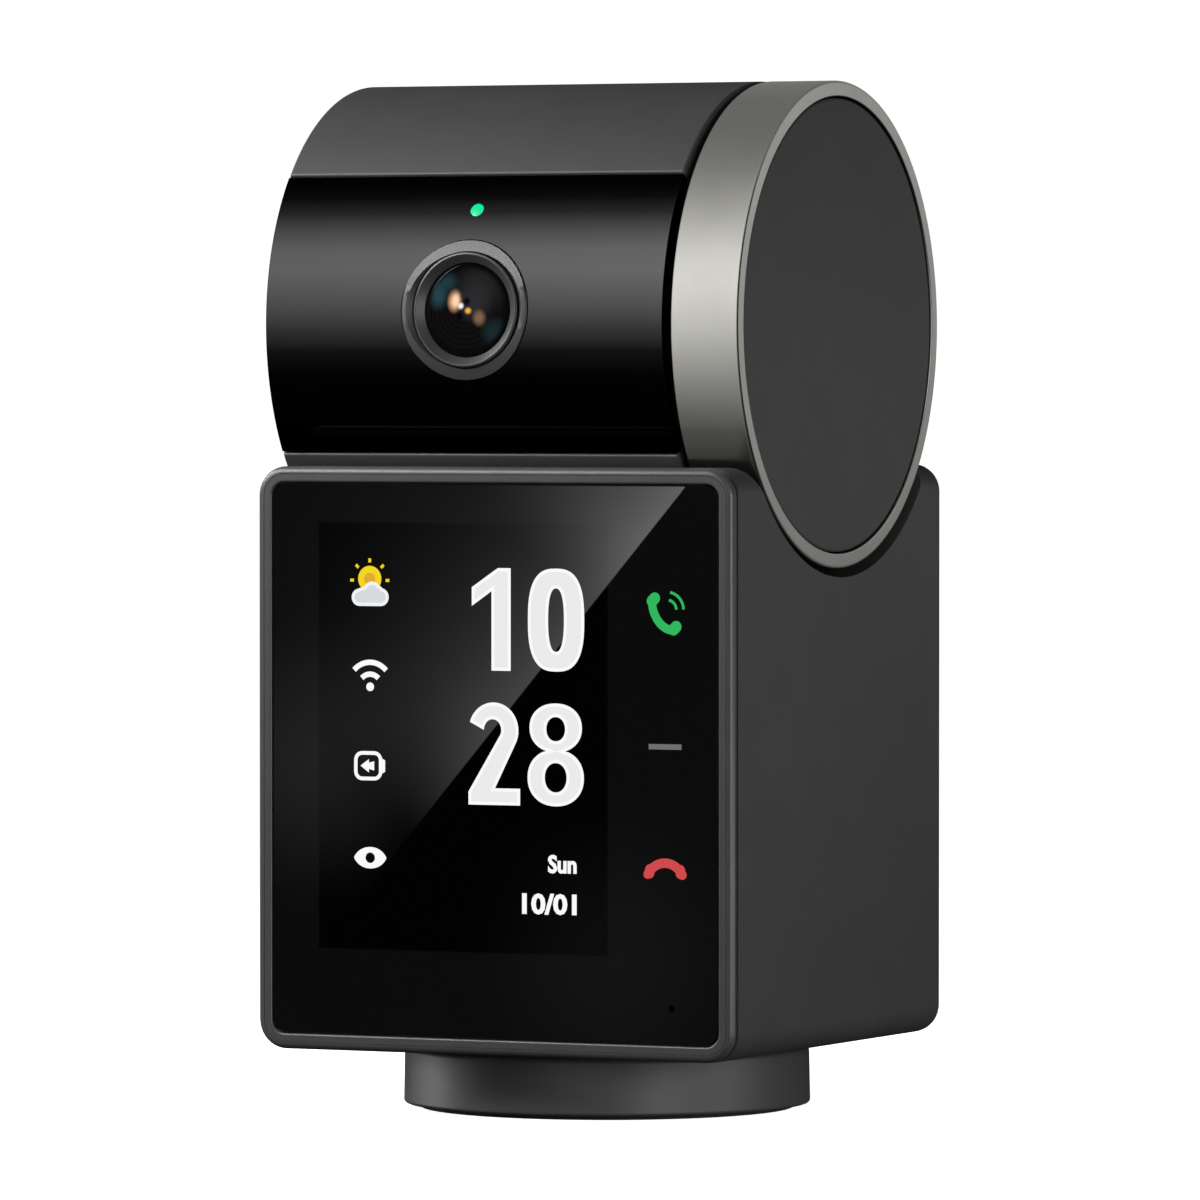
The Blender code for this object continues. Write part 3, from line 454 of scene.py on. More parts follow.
# Clear epoxy of the infra-red diodes
clearResin = grainyMaterial("clearResin", "#6d6d78", "#5d5d66", 0.12, 1.0, 0.002)
statusLit = litMaterial("statusLit", "#00e496", 1.1)
digitLit = litMaterial("digitLit", "#fefefe", 1.0)
digitCore = litMaterial("digitCore", "#eeeeee", 1.0)
sunLit = litMaterial("sunLit", "#f7d81f", 1.0)
sunCore = litMaterial("sunCore", "#e2ae2c", 1.0)
cloudLit = litMaterial("cloudLit", "#f4f6f8", 1.0)
cloudCore = litMaterial("cloudCore", "#d9dde2", 1.0)
greenLit = litMaterial("greenLit", "#2fb95e", 1.0)
redLit = litMaterial("redLit", "#d24a4c", 1.0)
greyLit = litMaterial("greyLit", "#707070", 1.0)


def boardMaterial():
    # Green solder mask over copper tracks on a 1.6 mm pitch
    material, tree, shader, where = newMaterial("solderMask", Roughness=0.35)
    tracks = addNode(tree, "ShaderNodeTexBrick", Vector=where, Scale=1.0 / (3.2 * mm), Mortar_Size=0.04,
                     Color1=fromHex("#0d4a26"), Color2=fromHex("#0f552c"), Mortar=fromHex("#2d7a45"))
    bump = addNode(tree, "ShaderNodeBump", Height=tracks.outputs["Fac"], Strength=0.3, Distance=0.03 * mm)
    tree.links.new(tracks.outputs["Color"], shader.inputs["Base Color"])
    tree.links.new(bump.outputs[0], shader.inputs["Normal"])
    return material


solderMask = boardMaterial()

# What the screen shows and where, in mm from the body's middle and above the surface
display = {"left": -26.2, "right": 17.1, "bottom": 22.95, "top": 80.45, "edge": 0.15}


def glassMaterial():
    # Toughened glass printed black behind: the panel's window is a deeper black than the printed border
    material, tree, shader, where = newMaterial("printedGlass", Roughness=0.004)
    split = addNode(tree, "ShaderNodeSeparateXYZ", Vector=where)
    soft = display["edge"] * mm
    inside = None
    for axis, low, high in (("X", "left", "right"), ("Z", "bottom", "top")):
        for key, sign in ((low, 1.0), (high, -1.0)):
            away = math2(tree, "SUBTRACT", split.outputs[axis], display[key] * mm)
            step = spread(tree, away, -soft * sign, soft * sign, 0.0, 1.0)
            inside = step if inside is None else math2(tree, "MULTIPLY", inside, step)
    drift = addNode(tree, "ShaderNodeTexNoise", Vector=where, Scale=1.0 / (30 * mm), Detail=1.0)
    border = mixed(tree, drift.outputs["Fac"], fromHex("#484a4b"), fromHex("#434546"))
    tint = mixed(tree, inside, border, fromHex("#000000"))
    tree.links.new(tint, shader.inputs["Base Color"])
    return material


printedGlass = glassMaterial()


# Coated elements seen through the lens, drawn as painted reflections, painted highlights and dark spots: place across
# and up from its middle, half sizes, colour; mm
lensPaintedReflections = [
    ((1.8, 2.6), (4.8, 4.6), "#272627"), ((1.2, 0.7), (3.0, 2.9), "#2c2a31"),
    ((-4.2, 2.2), (2.1, 2.8), "#26444c"), ((-3.0, 3.6), (2.3, 1.9), "#1f373e"),
    ((4.2, -3.0), (2.3, 2.6), "#182a2c"), ((2.2, -1.1), (1.2, 1.45), "#80634a"),
    ((-1.5, 1.15), (1.35, 1.85), "#eeb488"), ((-1.3, 1.2), (0.8, 1.25), "#ffdcba"),
    ((0.35, 1.1), (0.8, 0.85), "#050505"), ((-0.6, -0.8), (0.8, 0.75), "#050505"),
    ((-0.5, 0.5), (0.6, 0.6), "#ffffff"), ((0.6, -0.15), (0.65, 0.6), "#f6bb3e"),
]


def lensMaterial():
    # Coated glass over dark baffles, drawn as glow: faint painted baffle rings, and the painted reflections and
    # highlights of the elements behind
    material, tree, shader, where = newMaterial("paintedLensGlow", Roughness=0.02, Specular_IOR_Level=0.25)
    middle = headCentre + np.array([lensX, -math.cos(lensAngle) * 33.0 * mm, math.sin(lensAngle) * 33.0 * mm])
    # Scaled to mm, with depth dropped, so that distances run across the lens
    centred = addNode(tree, "ShaderNodeMapping", {"vector_type": "POINT"}, Vector=where,
                      Location=tuple(-middle / mm * np.array([1.0, 0.0, 1.0])),
                      Scale=(1.0 / mm, 0.0, 1.0 / mm)).outputs[0]
    far = addNode(tree, "ShaderNodeVectorMath", {"operation": "LENGTH"}, i0=centred).outputs["Value"]
    rings = math2(tree, "SINE", math2(tree, "MULTIPLY", far, 9.0))
    colour = mixed(tree, spread(tree, rings, -1.0, 1.0, 0.0, 1.0), fromHex("#0b0a0b"), fromHex("#110f10"))
    for (across, up), (wide, tall), tint in lensPaintedReflections:
        local = addNode(tree, "ShaderNodeMapping", {"vector_type": "TEXTURE"}, Vector=centred,
                        Location=(across, 0.0, up), Scale=(wide, 1.0, tall)).outputs[0]
        gap = addNode(tree, "ShaderNodeVectorMath", {"operation": "LENGTH"}, i0=local).outputs["Value"]
        share = spread(tree, gap, 0.15, 1.0, 1.0, 0.0, interpolation_type="SMOOTHSTEP")
        colour = mixed(tree, share, colour, fromHex(tint))
    # Painted shade: the glow darkens towards the rim of the glass
    rim = spread(tree, far, 5.3, 6.1, 0.0, 1.0, interpolation_type="SMOOTHSTEP")
    colour = mixed(tree, rim, colour, fromHex("#070707"))
    # The colour is given out as emission over a black base, so the lens glows with painted light and painted
    # reflections
    shader.inputs["Base Color"].default_value = fromHex("#000000")
    shader.inputs["Emission Strength"].default_value = 1.0
    tree.links.new(colour, shader.inputs["Emission Color"])
    return material


paintedLensGlow = lensMaterial()
print("materials made")


# Foot
foot = {"rimRadius": 0.45, "topRadius": 0.9, "wall": 2.0, "count": 192}


def makeFoot():
    bottom, top = footLow[2] / mm, 8.5
    outer = (footHigh[0] - footLow[0]) / 2.0 / mm
    journal, bore, journalTop = 12.0, 9.0, footHigh[2] / mm
    corners = [(journal, journalTop), (journal, top), (outer - 0.15, top), (outer, bottom),
               (outer - foot["wall"], bottom), (outer - foot["wall"], top - 2.0), (bore, top - 2.0),
               (bore, journalTop)]
    radii = [0.2, 0.2, foot["topRadius"], foot["rimRadius"], 0.1, 0.3, 0.2, 0.2]
    profile = holdCorners(corners, radii) * mm
    addPiece("foot", turn("foot", profile, foot["count"], upright), mouldedAbs, "base",
             ["base_shell"])


makeFoot()
print("foot made")

# Body
body = {"rounding": 3.8, "wall": 2.0, "floor": 2.4, "saddleGap": 1.1, "softEdge": 0.45, "footHole": 14.4}


def roundedBox(name, low, high, radius, steps=10):
    # Cross-sections of a rounded rectangle carried along Y; towards the back both the section and its corners
    # shrink by one minus the cosine of the turn, which rounds the rear edges with the same radius
    t = np.linspace(0.0, math.pi / 2.0, steps + 1)
    hold = radius * 0.1
    y = np.concatenate([[low[1], low[1] + hold, high[1] - radius - hold], high[1] - radius + radius * np.sin(t)])
    inset = np.concatenate([[0.0, 0.0, 0.0], radius * (1.0 - np.cos(t)) * 0.999])
    width, height = high[0] - low[0], high[2] - low[2]
    points, outward = roundRect(width, height, radius, steps)
    flat = points[None] - inset[:, None, None] * outward[None]
    middle = (np.asarray(low) + np.asarray(high)) / 2.0
    grid = np.stack([flat[..., 0] + middle[0], np.repeat(y[:, None], len(points), 1),
                     flat[..., 1] + middle[2]], -1)
    return closedSurface(name, grid)


def makeBody():
    wall, floor = body["wall"] * mm, body["floor"] * mm
    shell = roundedBox("bodyShell", bodyLow, bodyHigh, body["rounding"] * mm)
    saddleRadius = headRadius + body["saddleGap"] * mm
    far = 60.0 * mm
    innerLow = np.array([bodyLow[0] + wall, bodyLow[1] - 10 * mm, bodyLow[2] + floor])
    innerHigh = np.array([bodyHigh[0] - wall, bodyHigh[1] - wall, bodyHigh[2] - wall])
    hollow = roundedBox("hollow", innerLow, innerHigh, (body["rounding"] - body["wall"]) * mm, steps=4)
    hollow = carve(hollow, [rodMesh("saddleWall", saddleRadius + wall, -far, far, alongX, 192)])
    tools = [rodMesh("saddle", saddleRadius, -far, far, alongX, 288), hollow]
    tools.append(rodMesh("floorHole", body["footHole"] * mm, bodyLow[2] - 1 * mm, bodyLow[2] + 5 * mm, upright, 96))
    usbLow, usbHigh = boxOf("usb_socket")
    middle = (usbLow + usbHigh) / 2.0
    slotProfile = np.array([(0.0, bodyHigh[1] + 1 * mm), (0.0, bodyHigh[1] - 3 * mm)])
    tools.append(rimSweep("usbHole", 9.7 * mm, 4.0 * mm, 1.95 * mm, slotProfile, (middle[0], middle[2]), False))
    grilleLow, grilleHigh = boxOf("speaker_grille")
    grille = (grilleLow + grilleHigh) / 2.0
    radius = (grilleHigh[0] - grilleLow[0]) / 2.0 + 0.25 * mm

    def rearward(local):
        return np.stack([local[..., 0] + grille[0], local[..., 2], local[..., 1] + grille[2]], -1)

    tools.append(rodMesh("grilleHole", radius, bodyHigh[1] - 4 * mm, bodyHigh[1] + 1 * mm, rearward, 96))
    tools.append(armHole("armSlot", 67.0, 76.0))
    result = faceOutwards(carve(shell, tools), 40.0)
    piece = addPiece("bodyShell", result, mouldedAbs, "housing", ["housing_shell"])
    bevel = piece.modifiers.new("softEdge", "BEVEL")
    bevel.width = body["softEdge"] * mm
    bevel.segments = 3
    bevel.limit_method = "ANGLE"
    bevel.angle_limit = math.radians(50.0)
    bevel.harden_normals = True


makeBody()
print("body made")

# Bezel and glass
bezel = {"rim": 2.15, "corner": 4.0, "outerEdge": 0.85, "backEdge": 0.35, "innerEdge": 0.3, "line": 0.08}


def makeFront():
    middle = ((frameLow[0] + frameHigh[0]) / 2.0, (frameLow[2] + frameHigh[2]) / 2.0)
    width, height = frameHigh[0] - frameLow[0], frameHigh[2] - frameLow[2]
    front = frameLow[1] / mm
    # A fine line runs round the flat face, where the rounding ends
    line, at = bezel["line"], bezel["outerEdge"] + 0.12
    corners = [(0, front), (0, front + 1.4), (2.3, front + 1.4), (2.3, front + 2.9), (3.9, front + 2.9),
               (3.9, front + 1.0), (bezel["rim"], front + 1.0), (bezel["rim"], front), (at + line, front),
               (at + line / 2.0, front + line), (at, front)]
    radii = [bezel["outerEdge"], bezel["backEdge"], 0.1, 0.2, 0.2, 0.1, 0.05, bezel["innerEdge"], 0, 0, 0]
    profile = holdCorners(corners, radii) * mm
    mesh = rimSweep("bezel", width, height, bezel["corner"] * mm, profile, middle)
    addPiece("bezel", mesh, satinBezel, "housing", ["front_frame"])
    glassWidth, glassHeight = glassHigh[0] - glassLow[0], glassHigh[2] - glassLow[2]
    glassFront, glassBack = glassLow[1] / mm, glassHigh[1] / mm
    profile = holdCorners([(1.2, glassFront), (0, glassFront), (0, glassBack), (1.2, glassBack)],
                          [0.0, 0.12, 0.1, 0.0]) * mm
    glass = rimSweep("coverGlass", glassWidth, glassHeight, 2.0 * mm, profile, middle, False)
    hole = boxOf("microphone")
    micX, micZ = (hole[0] + hole[1])[[0, 2]] / 2.0

    def forward(local):
        return np.stack([local[..., 0] + micX, local[..., 2], local[..., 1] + micZ], -1)

    drill = rodMesh("micHole", 0.45 * mm, glassLow[1] - 1 * mm, glassHigh[1] + 1 * mm, forward, 32)
    glass = faceOutwards(carve(glass, [drill]))
    addPiece("coverGlass", glass, printedGlass, "housing", ["cover_glass"])


makeFront()
print("bezel and glass made")

# Marks on the screen, in mm
marks = {
    "digitHeight": 13.75, "digitWidth": 8.35, "pen": 2.85, "core": 0.42, "lift": 0.03, "layer": 0.012,
    "zeroX": 9.45, "eightX": 9.4, "oneX": -0.25, "twoX": 0.25, "hourZ": 67.65, "minuteZ": 49.65,
    "iconX": -18.4, "weatherZ": 72.4, "wifiZ": 60.1, "deviceZ": 47.7, "eyeZ": 35.3,
    "day": (8.25, 12.5, 33.8, 36.3), "date": (4.4, 12.5, 28.25, 31.1),
    "callX": 25.7, "callZ": 68.7, "dashZ": 51.0, "endZ": 34.9,
}


def addMark(name, loops, x, z, material, layer=0.0, grow=0.0):
    y = glassLow[1] - (marks["lift"] + layer * marks["layer"]) * mm
    mesh = flatPiece(name, loops, x * mm, z * mm, y, 0.03 * mm, grow)
    addPiece(name, mesh, material, "housing")


def addText(name, words, box, bold, material):
    # Lettering made mesh, then fitted to a box of left, right, bottom and top
    text = bpy.data.curves.new(name, "FONT")
    text.body = words
    text.size = 3.0 * mm
    text.offset = bold * mm
    text.extrude = 0.015 * mm
    text.resolution_u = 3
    mesh = standUp(name, text, 0.0, 0.0, glassLow[1] - marks["lift"] * mm)
    flat = pointsOf(mesh)
    for axis, low, high in ((0, box[0], box[1]), (2, box[2], box[3])):
        start, end = flat[:, axis].min(), flat[:, axis].max()
        flat[:, axis] = (low + (flat[:, axis] - start) / (end - start) * (high - low)) * mm
    mesh.vertices.foreach_set("co", flat.ravel())
    addPiece(name, mesh, material, "housing")


def roundish(cx, cy, width, height, power=2.5, count=56):
    # A superellipse: between an oval and a rectangle
    t = np.linspace(0.0, tau, count, endpoint=False)
    c, d = np.cos(t), np.sin(t)
    return np.stack([cx + width / 2.0 * np.sign(c) * np.abs(c) ** (2.0 / power),
                     cy + height / 2.0 * np.sign(d) * np.abs(d) ** (2.0 / power)], 1)


def digitLoops(digit):
    height, width, pen = marks["digitHeight"], marks["digitWidth"], marks["pen"]
    if digit == "0":
        return [roundish(0, 0, width, height, 2.7), roundish(0, 0, width - pen * 2.1, height - pen * 1.85, 2.4)]
    if digit == "8":
        # The waist is where the two bowls cross
        upper = roundish(0, height * 0.262, width * 0.93, height * 0.476, 2.15)
        lower = roundish(0, -height * 0.224, width, height * 0.552, 2.15)
        waist = height * 0.03
        above, below = upper[upper[:, 1] > waist], lower[lower[:, 1] < waist]
        right = above[(above[:, 0] > 0)]
        left = above[(above[:, 0] <= 0)]
        outline = np.concatenate([right[np.argsort(right[:, 1])], left[np.argsort(-left[:, 1])]])
        lowLeft = below[below[:, 0] <= 0]
        lowRight = below[below[:, 0] > 0]
        outline = np.concatenate([outline, lowLeft[np.argsort(-lowLeft[:, 1])], lowRight[np.argsort(lowRight[:, 1])]])
        return [outline, roundish(0, height * 0.25, pen * 0.98, height * 0.235, 2.1),
                roundish(0, -height * 0.222, pen * 1.14, height * 0.285, 2.1)]
    if digit == "1":
        right, half = 2.95, height / 2.0
        bar = [(right - pen, -half), (right, -half), (right, half), (right - 1.9, half), (-2.85, half - 2.6),
               (-2.85, half - 5.1), (right - pen, half - 3.1)]
        return [np.array(bar)]
    half = height / 2.0
    outer = arcPath(-0.1, half - 3.75, 3.7, 3.75, 163, -24, 30)
    inner = arcPath(-0.25, half - 3.7, 1.3, 1.45, -22, 180, 20)
    foot = [(0.1, -half + 2.25), (3.85, -half + 2.25), (3.85, -half), (-3.85, -half), (-3.85, -half + 1.75)]
    return [np.concatenate([outer, foot, inner])]


def makeDigits():
    places = (("hourTens", "1", "oneX", "hourZ"), ("hourUnits", "0", "zeroX", "hourZ"),
              ("minuteTens", "2", "twoX", "minuteZ"), ("minuteUnits", "8", "eightX", "minuteZ"))
    for name, digit, x, z in places:
        addMark(name, digitLoops(digit), marks[x], marks[z], digitLit)
        addMark(name + "Core", digitLoops(digit), marks[x], marks[z], digitCore, 1.0, -marks["core"])


def circleLoop(cx, cy, radius, count=32):
    return arcPath(cx, cy, radius, radius, 0, 360 - 360 / count, count)


def cloudLoop(scale):
    return np.concatenate([arcPath(1.6, -1.95, 1.22, 1.22, -90, 75, 12), arcPath(0.3, -1.15, 1.3, 1.3, 45, 150, 12),
                           arcPath(-1.6, -2.0, 1.17, 1.17, 100, 270, 14)]) * scale


def makeIcons():
    x = marks["iconX"]
    z = marks["weatherZ"]
    addMark("sunDisc", [circleLoop(-0.05, 0.5, 1.75)], x, z, sunLit)
    addMark("sunCentre", [circleLoop(-0.05, 0.45, 0.85)], x, z, sunCore, 1)
    for number, angle in enumerate((0, 45, 90, 135, 180)):
        way = np.array([math.cos(math.radians(angle)), math.sin(math.radians(angle))])
        ray = np.linspace(way * 2.4, way * 2.95, 4) + np.array([-0.05, 0.3])
        addMark("sunRay_%d" % number, [stroke(ray, 0.4)], x, z, sunLit)
    addMark("cloud", [cloudLoop(1.0)], x, z, cloudLit, 2)
    addMark("cloudCore", [cloudLoop(1.0)], x, z, cloudCore, 3, -0.45)
    z = marks["wifiZ"]
    addMark("wifiDot", [circleLoop(0, -1.75, 0.58)], x, z, digitLit)
    for number, radius in enumerate((1.7, 3.3)):
        path = arcPath(0, -1.75, radius, radius, 137, 43, 20)
        addMark("wifiArc_%d" % number, [stroke(path, 0.72)], x, z, digitLit)
    z = marks["deviceZ"]
    points, _ = roundRect(3.75, 3.45, 0.95, 6)
    addMark("deviceOutline", ringStroke(points, 0.5), x - 0.3, z, digitLit)
    speaker = np.array([(-1.15, 0.0), (0.1, 0.9), (0.1, 0.42), (0.9, 0.62), (0.9, -0.62), (0.1, -0.42), (0.1, -0.9)])
    addMark("deviceSpeaker", [speaker], x - 0.3, z, digitLit)
    notch = np.array([(2.1, -1.0), (2.5, -0.75), (2.5, 0.75), (2.1, 1.0)])
    addMark("deviceNotch", [notch], x - 0.25, z, digitLit)
    z = marks["eyeZ"]
    lid = np.concatenate([arcPath(0, -0.75, 2.6, 2.2, 160, 20, 20), arcPath(0, 0.75, 2.6, 2.2, -20, -160, 20)])
    addMark("eye", [lid, circleLoop(0, 0, 0.72, 24)], x, z, digitLit)


def smoothPath(points, count=28):
    # A curve through a few points: each coordinate is a cubic in the running number
    points = np.asarray(points, float)
    run = np.linspace(0.0, 1.0, len(points))
    t = np.linspace(0.0, 1.0, count)
    return np.stack([np.polyval(np.polyfit(run, points[:, axis], 3), t) for axis in (0, 1)], 1)


def makeKeys():
    x, z = marks["callX"], marks["callZ"]
    spine = smoothPath([(-1.95, 1.85), (-1.85, 0.55), (-1.2, -0.75), (-0.15, -1.85), (1.35, -2.2)])
    addMark("answerKey", [stroke(spine, 1.15, True)], x - 0.1, z, greenLit)
    for number, pad in enumerate(((-1.85, 1.75), (1.3, -2.0))):
        way = np.array([0.28, 0.28])
        short = np.linspace(np.array(pad) - way * 0.4, np.array(pad) + way, 4)
        addMark("answerPad_%d" % number, [stroke(short, 1.55, True)], x - 0.1, z, greenLit, 0.3)
    for number, radius in enumerate((1.3, 2.35)):
        path = arcPath(0.1, 0.3, radius, radius, 80, 2, 14)
        addMark("answerWave_%d" % number, [stroke(path, 0.36)], x + 0.1, z + 0.2, greenLit)
    dash = np.array([(-2.4, -0.36), (2.4, -0.36), (2.4, 0.36), (-2.4, 0.36)])
    addMark("menuKey", [dash], x - 0.15, marks["dashZ"], greyLit)
    spine = arcPath(0, -2.9, 3.0, 3.25, 148, 32, 26)
    addMark("endKey", [stroke(spine, 1.25, True)], x - 0.15, marks["endZ"] + 0.3, redLit)
    for number, side in enumerate((-1.0, 1.0)):
        short = np.linspace((side * 2.3, -1.0), (side * 2.2, -0.55), 4)
        addMark("endPad_%d" % number, [stroke(short, 1.45, True)], x - 0.15, marks["endZ"] + 0.3, redLit, 0.3)


makeDigits()
makeIcons()
makeKeys()
addText("dayName", "Sun", marks["day"], 0.11, digitLit)
addText("dayDate", "10/01", marks["date"], 0.1, digitLit)
print("screen marks made")

# Side pod
pod = {"wall": 2.1, "outerBevel": 0.45, "hairline": 0.25, "count": 256}


def makePod():
    outer, inner = headRadius / mm, headRadius / mm - pod["wall"]
    left, right = ringLow[0] / mm, ringHigh[0] / mm
    profile = holdCorners([(outer, right), (outer, left), (inner, left), (inner, right)],
                          [pod["outerBevel"], 0.3, 0.15, 0.15]) * mm
    ring = turn("podRing", profile, pod["count"], alongX)
    slot = armHole("podSlot", 70.0, 79.0)
    ring = faceOutwards(carve(ring, [slot]))
    addPiece("podRing", ring, anodisedRing, "housing", ["pod_ring"])
    low, high = boxOf("pod_disc")
    radius = inner - pod["hairline"]
    profile = holdCorners([(0.6, high[0] / mm), (radius, high[0] / mm), (radius, low[0] / mm), (0.6, low[0] / mm)],
                          [0.0, 0.3, 0.1, 0.0]) * mm
    addPiece("podDisc", turn("podDisc", profile, pod["count"], alongX, closed=False), mouldedAbsShadedEnds, "housing",
             ["pod_disc"])


makePod()
print("side pod made")

# Barrel
barrel = {"wall": 1.8, "edge": 0.35, "grooveDegrees": 0.45, "coverSteps": 288, "visorSteps": 150,
          "lensHole": 9.55, "lightHole": 1.02, "buttonHole": 1.85, "cardSlot": (12.4, 1.6)}


def slotTool(name, x, width, height, depthLow, depthHigh, angle):
    # A round-ended slot that runs out of the barrel at an angle
    profile = np.array([(0.0, depthHigh), (0.0, depthLow)]) * mm
    points, outward = roundRect(width * mm, height * mm, height * 0.49 * mm, 8)
    grid = np.stack([np.repeat(points[None, :, 0], 2, 0), np.repeat(points[None, :, 1], 2, 0),
                     np.repeat(profile[:, 1][:, None], len(points), 1)], -1)
    return closedSurface(name, outFromBarrel(angle, x * mm)(grid))


def makeBarrel():
    outer, inner = headRadius, headRadius - barrel["wall"] * mm
    left, right = barrelLow[0], barrelHigh[0]
    edge = barrel["edge"] * mm
    groove = math.radians(barrel["grooveDegrees"])
    cover = sector("barrelCover", visorTop + groove, visorBottom - groove + tau, inner, outer, edge, left, right,
                   barrel["coverSteps"])
    buttonLow, buttonHigh = boxOf("reset_button")
    cardLow, cardHigh = boxOf("card_socket")
    cardX = float(cardLow[0] + cardHigh[0]) / 2 / mm
    cover = carve(cover, [slotTool("cardSlot", cardX, *barrel["cardSlot"], 26, 40, hiddenAngle),
                          rodMesh("buttonHole", barrel["buttonHole"] * mm, 26 * mm, 40 * mm,
                                  outFromBarrel(hiddenAngle, float(buttonLow[0] + buttonHigh[0]) / 2), 48)])
    addPiece("barrelCover", faceOutwards(cover), mouldedAbs, "head", ["barrel_shell"])
    visor = sector("visorShell", visorBottom, visorTop, inner + 0.3 * mm, outer, 0.2 * mm, left, right,
                   barrel["visorSteps"])
    visor = carve(visor, [rodMesh(name, barrel[name] * mm, 20 * mm, 40 * mm, outFromBarrel(angle, lensX), count)
                          for name, angle, count in (("lensHole", lensAngle, 128), ("lightHole", lightAngle, 48))])
    addPiece("visorShell", faceOutwards(visor), smokedVisor, "head", ["visor"])
    low, high = boxOf("barrel_left_cap")
    radius = (high[1] - low[1]) / 2.0 / mm
    profile = holdCorners([(0.6, low[0] / mm), (radius, low[0] / mm), (radius, high[0] / mm), (0.6, high[0] / mm)],
                          [0.0, 0.35, 0.1, 0.0]) * mm
    addPiece("barrelEnd", turn("barrelEnd", profile, 256, alongX, closed=False), mouldedAbsShadedEnds, "head",
             ["barrel_left_cap"])
    dome = holdCorners([(0.05, 33.12), (0.95, 33.02), (0.95, 30.4), (0.05, 30.4)], [0.0, 0.12, 0.0, 0.0]) * mm
    addPiece("statusLight", turn("statusLight", dome, 48, outFromBarrel(lightAngle, lensX), closed=False),
             statusLit, "head", ["status_light"])


makeBarrel()
print("barrel made")

# Lens
lens = {"count": 160, "glassRadius": 6.25, "crown": 1.2, "top": 33.2}


def makeLens():
    place = outFromBarrel(lensAngle, lensX)
    outerRing = holdCorners([(9.4, 33.3), (9.4, 29.6), (7.92, 29.6), (7.92, 32.5), (8.6, 33.35)],
                            [0.25, 0.1, 0.1, 0.25, 0.25]) * mm
    ring = turn("lensRing", outerRing, lens["count"], place)
    sweep = rodMesh("ringSweep", headRadius + 0.28 * mm, -40 * mm, 40 * mm, alongX, 384)
    ring = faceOutwards(carve(ring, [sweep], "INTERSECT"), 40.0)
    addPiece("lensRing", ring, lensTrim, "head", ["lens_bezel"])
    cone = holdCorners([(7.76, 32.9), (7.76, 29.6), (6.4, 29.6), (6.4, 32.2), (7.45, 33.0)],
                       [0.15, 0.1, 0.1, 0.12, 0.15]) * mm
    addPiece("lensCone", turn("lensCone", cone, lens["count"], place), lensTrim, "head",
             ["lens_inner_ring"])
    # A dome of one sphere over the glass radius
    radius, crown, top = lens["glassRadius"], lens["crown"], lens["top"]
    sphere = (radius ** 2 + crown ** 2) / (2.0 * crown)
    span = np.linspace(0.02, math.asin(radius / sphere), 28)
    cap = np.stack([sphere * np.sin(span), top - sphere + sphere * np.cos(span)], 1)
    profile = np.concatenate([cap, [(radius, 30.0), (0.1, 30.0)]]) * mm
    addPiece("lensDome", turn("lensDome", profile, lens["count"], place, closed=False), paintedLensGlow, "head",
             ["lens_glass"])


makeLens()
print("lens made")

# CAD nodes that keep their own shape
slotFinish = {"matte_shell": mouldedAbs, "frame_grey": satinBezel, "black_glass": printedGlass,
              "visor_black": smokedVisor, "ring_metal": anodisedRing, "inner_plastic": blackNylon,
              "rubber_foot": nitrileRubber, "steel": rolledSteel, "circuit_board": solderMask,
              "white_plastic": naturalAcetal, "brass": turnedBrass, "lens_grey": lensTrim,
              "lens_glass": paintedLensGlow, "status_green": statusLit, "led_clear": clearResin}
for entry in frame["record"]["subparts"]:
    keptNode = nodes[entry["node"]]
    if keptNode.material_slots:
        for place in keptNode.material_slots:
            place.material = slotFinish[entry["material_slot"]]
    else:
        keptNode.data.materials.append(slotFinish[entry["material_slot"]])
print("inner pieces finished")

# Stage, lights and camera
stage = {"radius": 3.0, "bend": 1.2, "tone": "#ffffff", "glow": 0.97}
shot = {"yaw": 25.699, "pitch": 1.4, "lens": 286.6, "place": (567.31, -1181.09, 101.48)}
polished = ("coverGlass", "visorShell", "lensDome", "podRing")


def makeStage():
    # A disc that curves up into a wall all round: the radius runs out, then the height follows a quarter circle
    angle = np.linspace(0.0, tau, 96, endpoint=False)
    flat = np.linspace(0.02, stage["radius"], 10)
    t = np.linspace(0.0, math.pi / 2.0, 12)[1:]
    radius = np.concatenate([flat, stage["radius"] + stage["bend"] * np.sin(t), [stage["radius"] + stage["bend"]]])
    height = np.concatenate([flat * 0.0, stage["bend"] * (1.0 - np.cos(t)), [3.5]])
    grid = np.stack([radius[:, None] * np.cos(angle), radius[:, None] * np.sin(angle),
                     np.repeat(height[:, None], len(angle), 1)], -1)
    points = np.concatenate([grid.reshape(-1, 3), [[0.0, 0.0, 0.0]]])
    faces = gridFaces(len(radius), len(angle), False).tolist()
    faces += [(len(points) - 1, i, (i + 1) % len(angle)) for i in range(len(angle))]
    mesh = bpy.data.meshes.new("sweepFloor")
    mesh.from_pydata(points.tolist(), [], faces)
    mesh.shade_smooth()
    material, tree, shader, where = newMaterial("palePaper", Roughness=0.9)
    shader.inputs["Base Color"].default_value = fromHex("#f4f4f4")
    shader.inputs["Emission Color"].default_value = fromHex(stage["tone"])
    shader.inputs["Emission Strength"].default_value = stage["glow"]
    mesh.materials.append(material)
    floor = intoScene("sweepFloor", mesh)
    floor.visible_glossy = False
    floor.visible_diffuse = False


def choosePieces(light, names, leaveOut=False):
    # The light reaches only these pieces, or all but these
    group = bpy.data.collections.new(light.name + "Pieces")
    for name in names:
        group.objects.link(bpy.data.objects[name])
    if leaveOut:
        for link in group.collection_objects:
            link.light_linking.link_state = "EXCLUDE"
    light.light_linking.receiver_collection = group


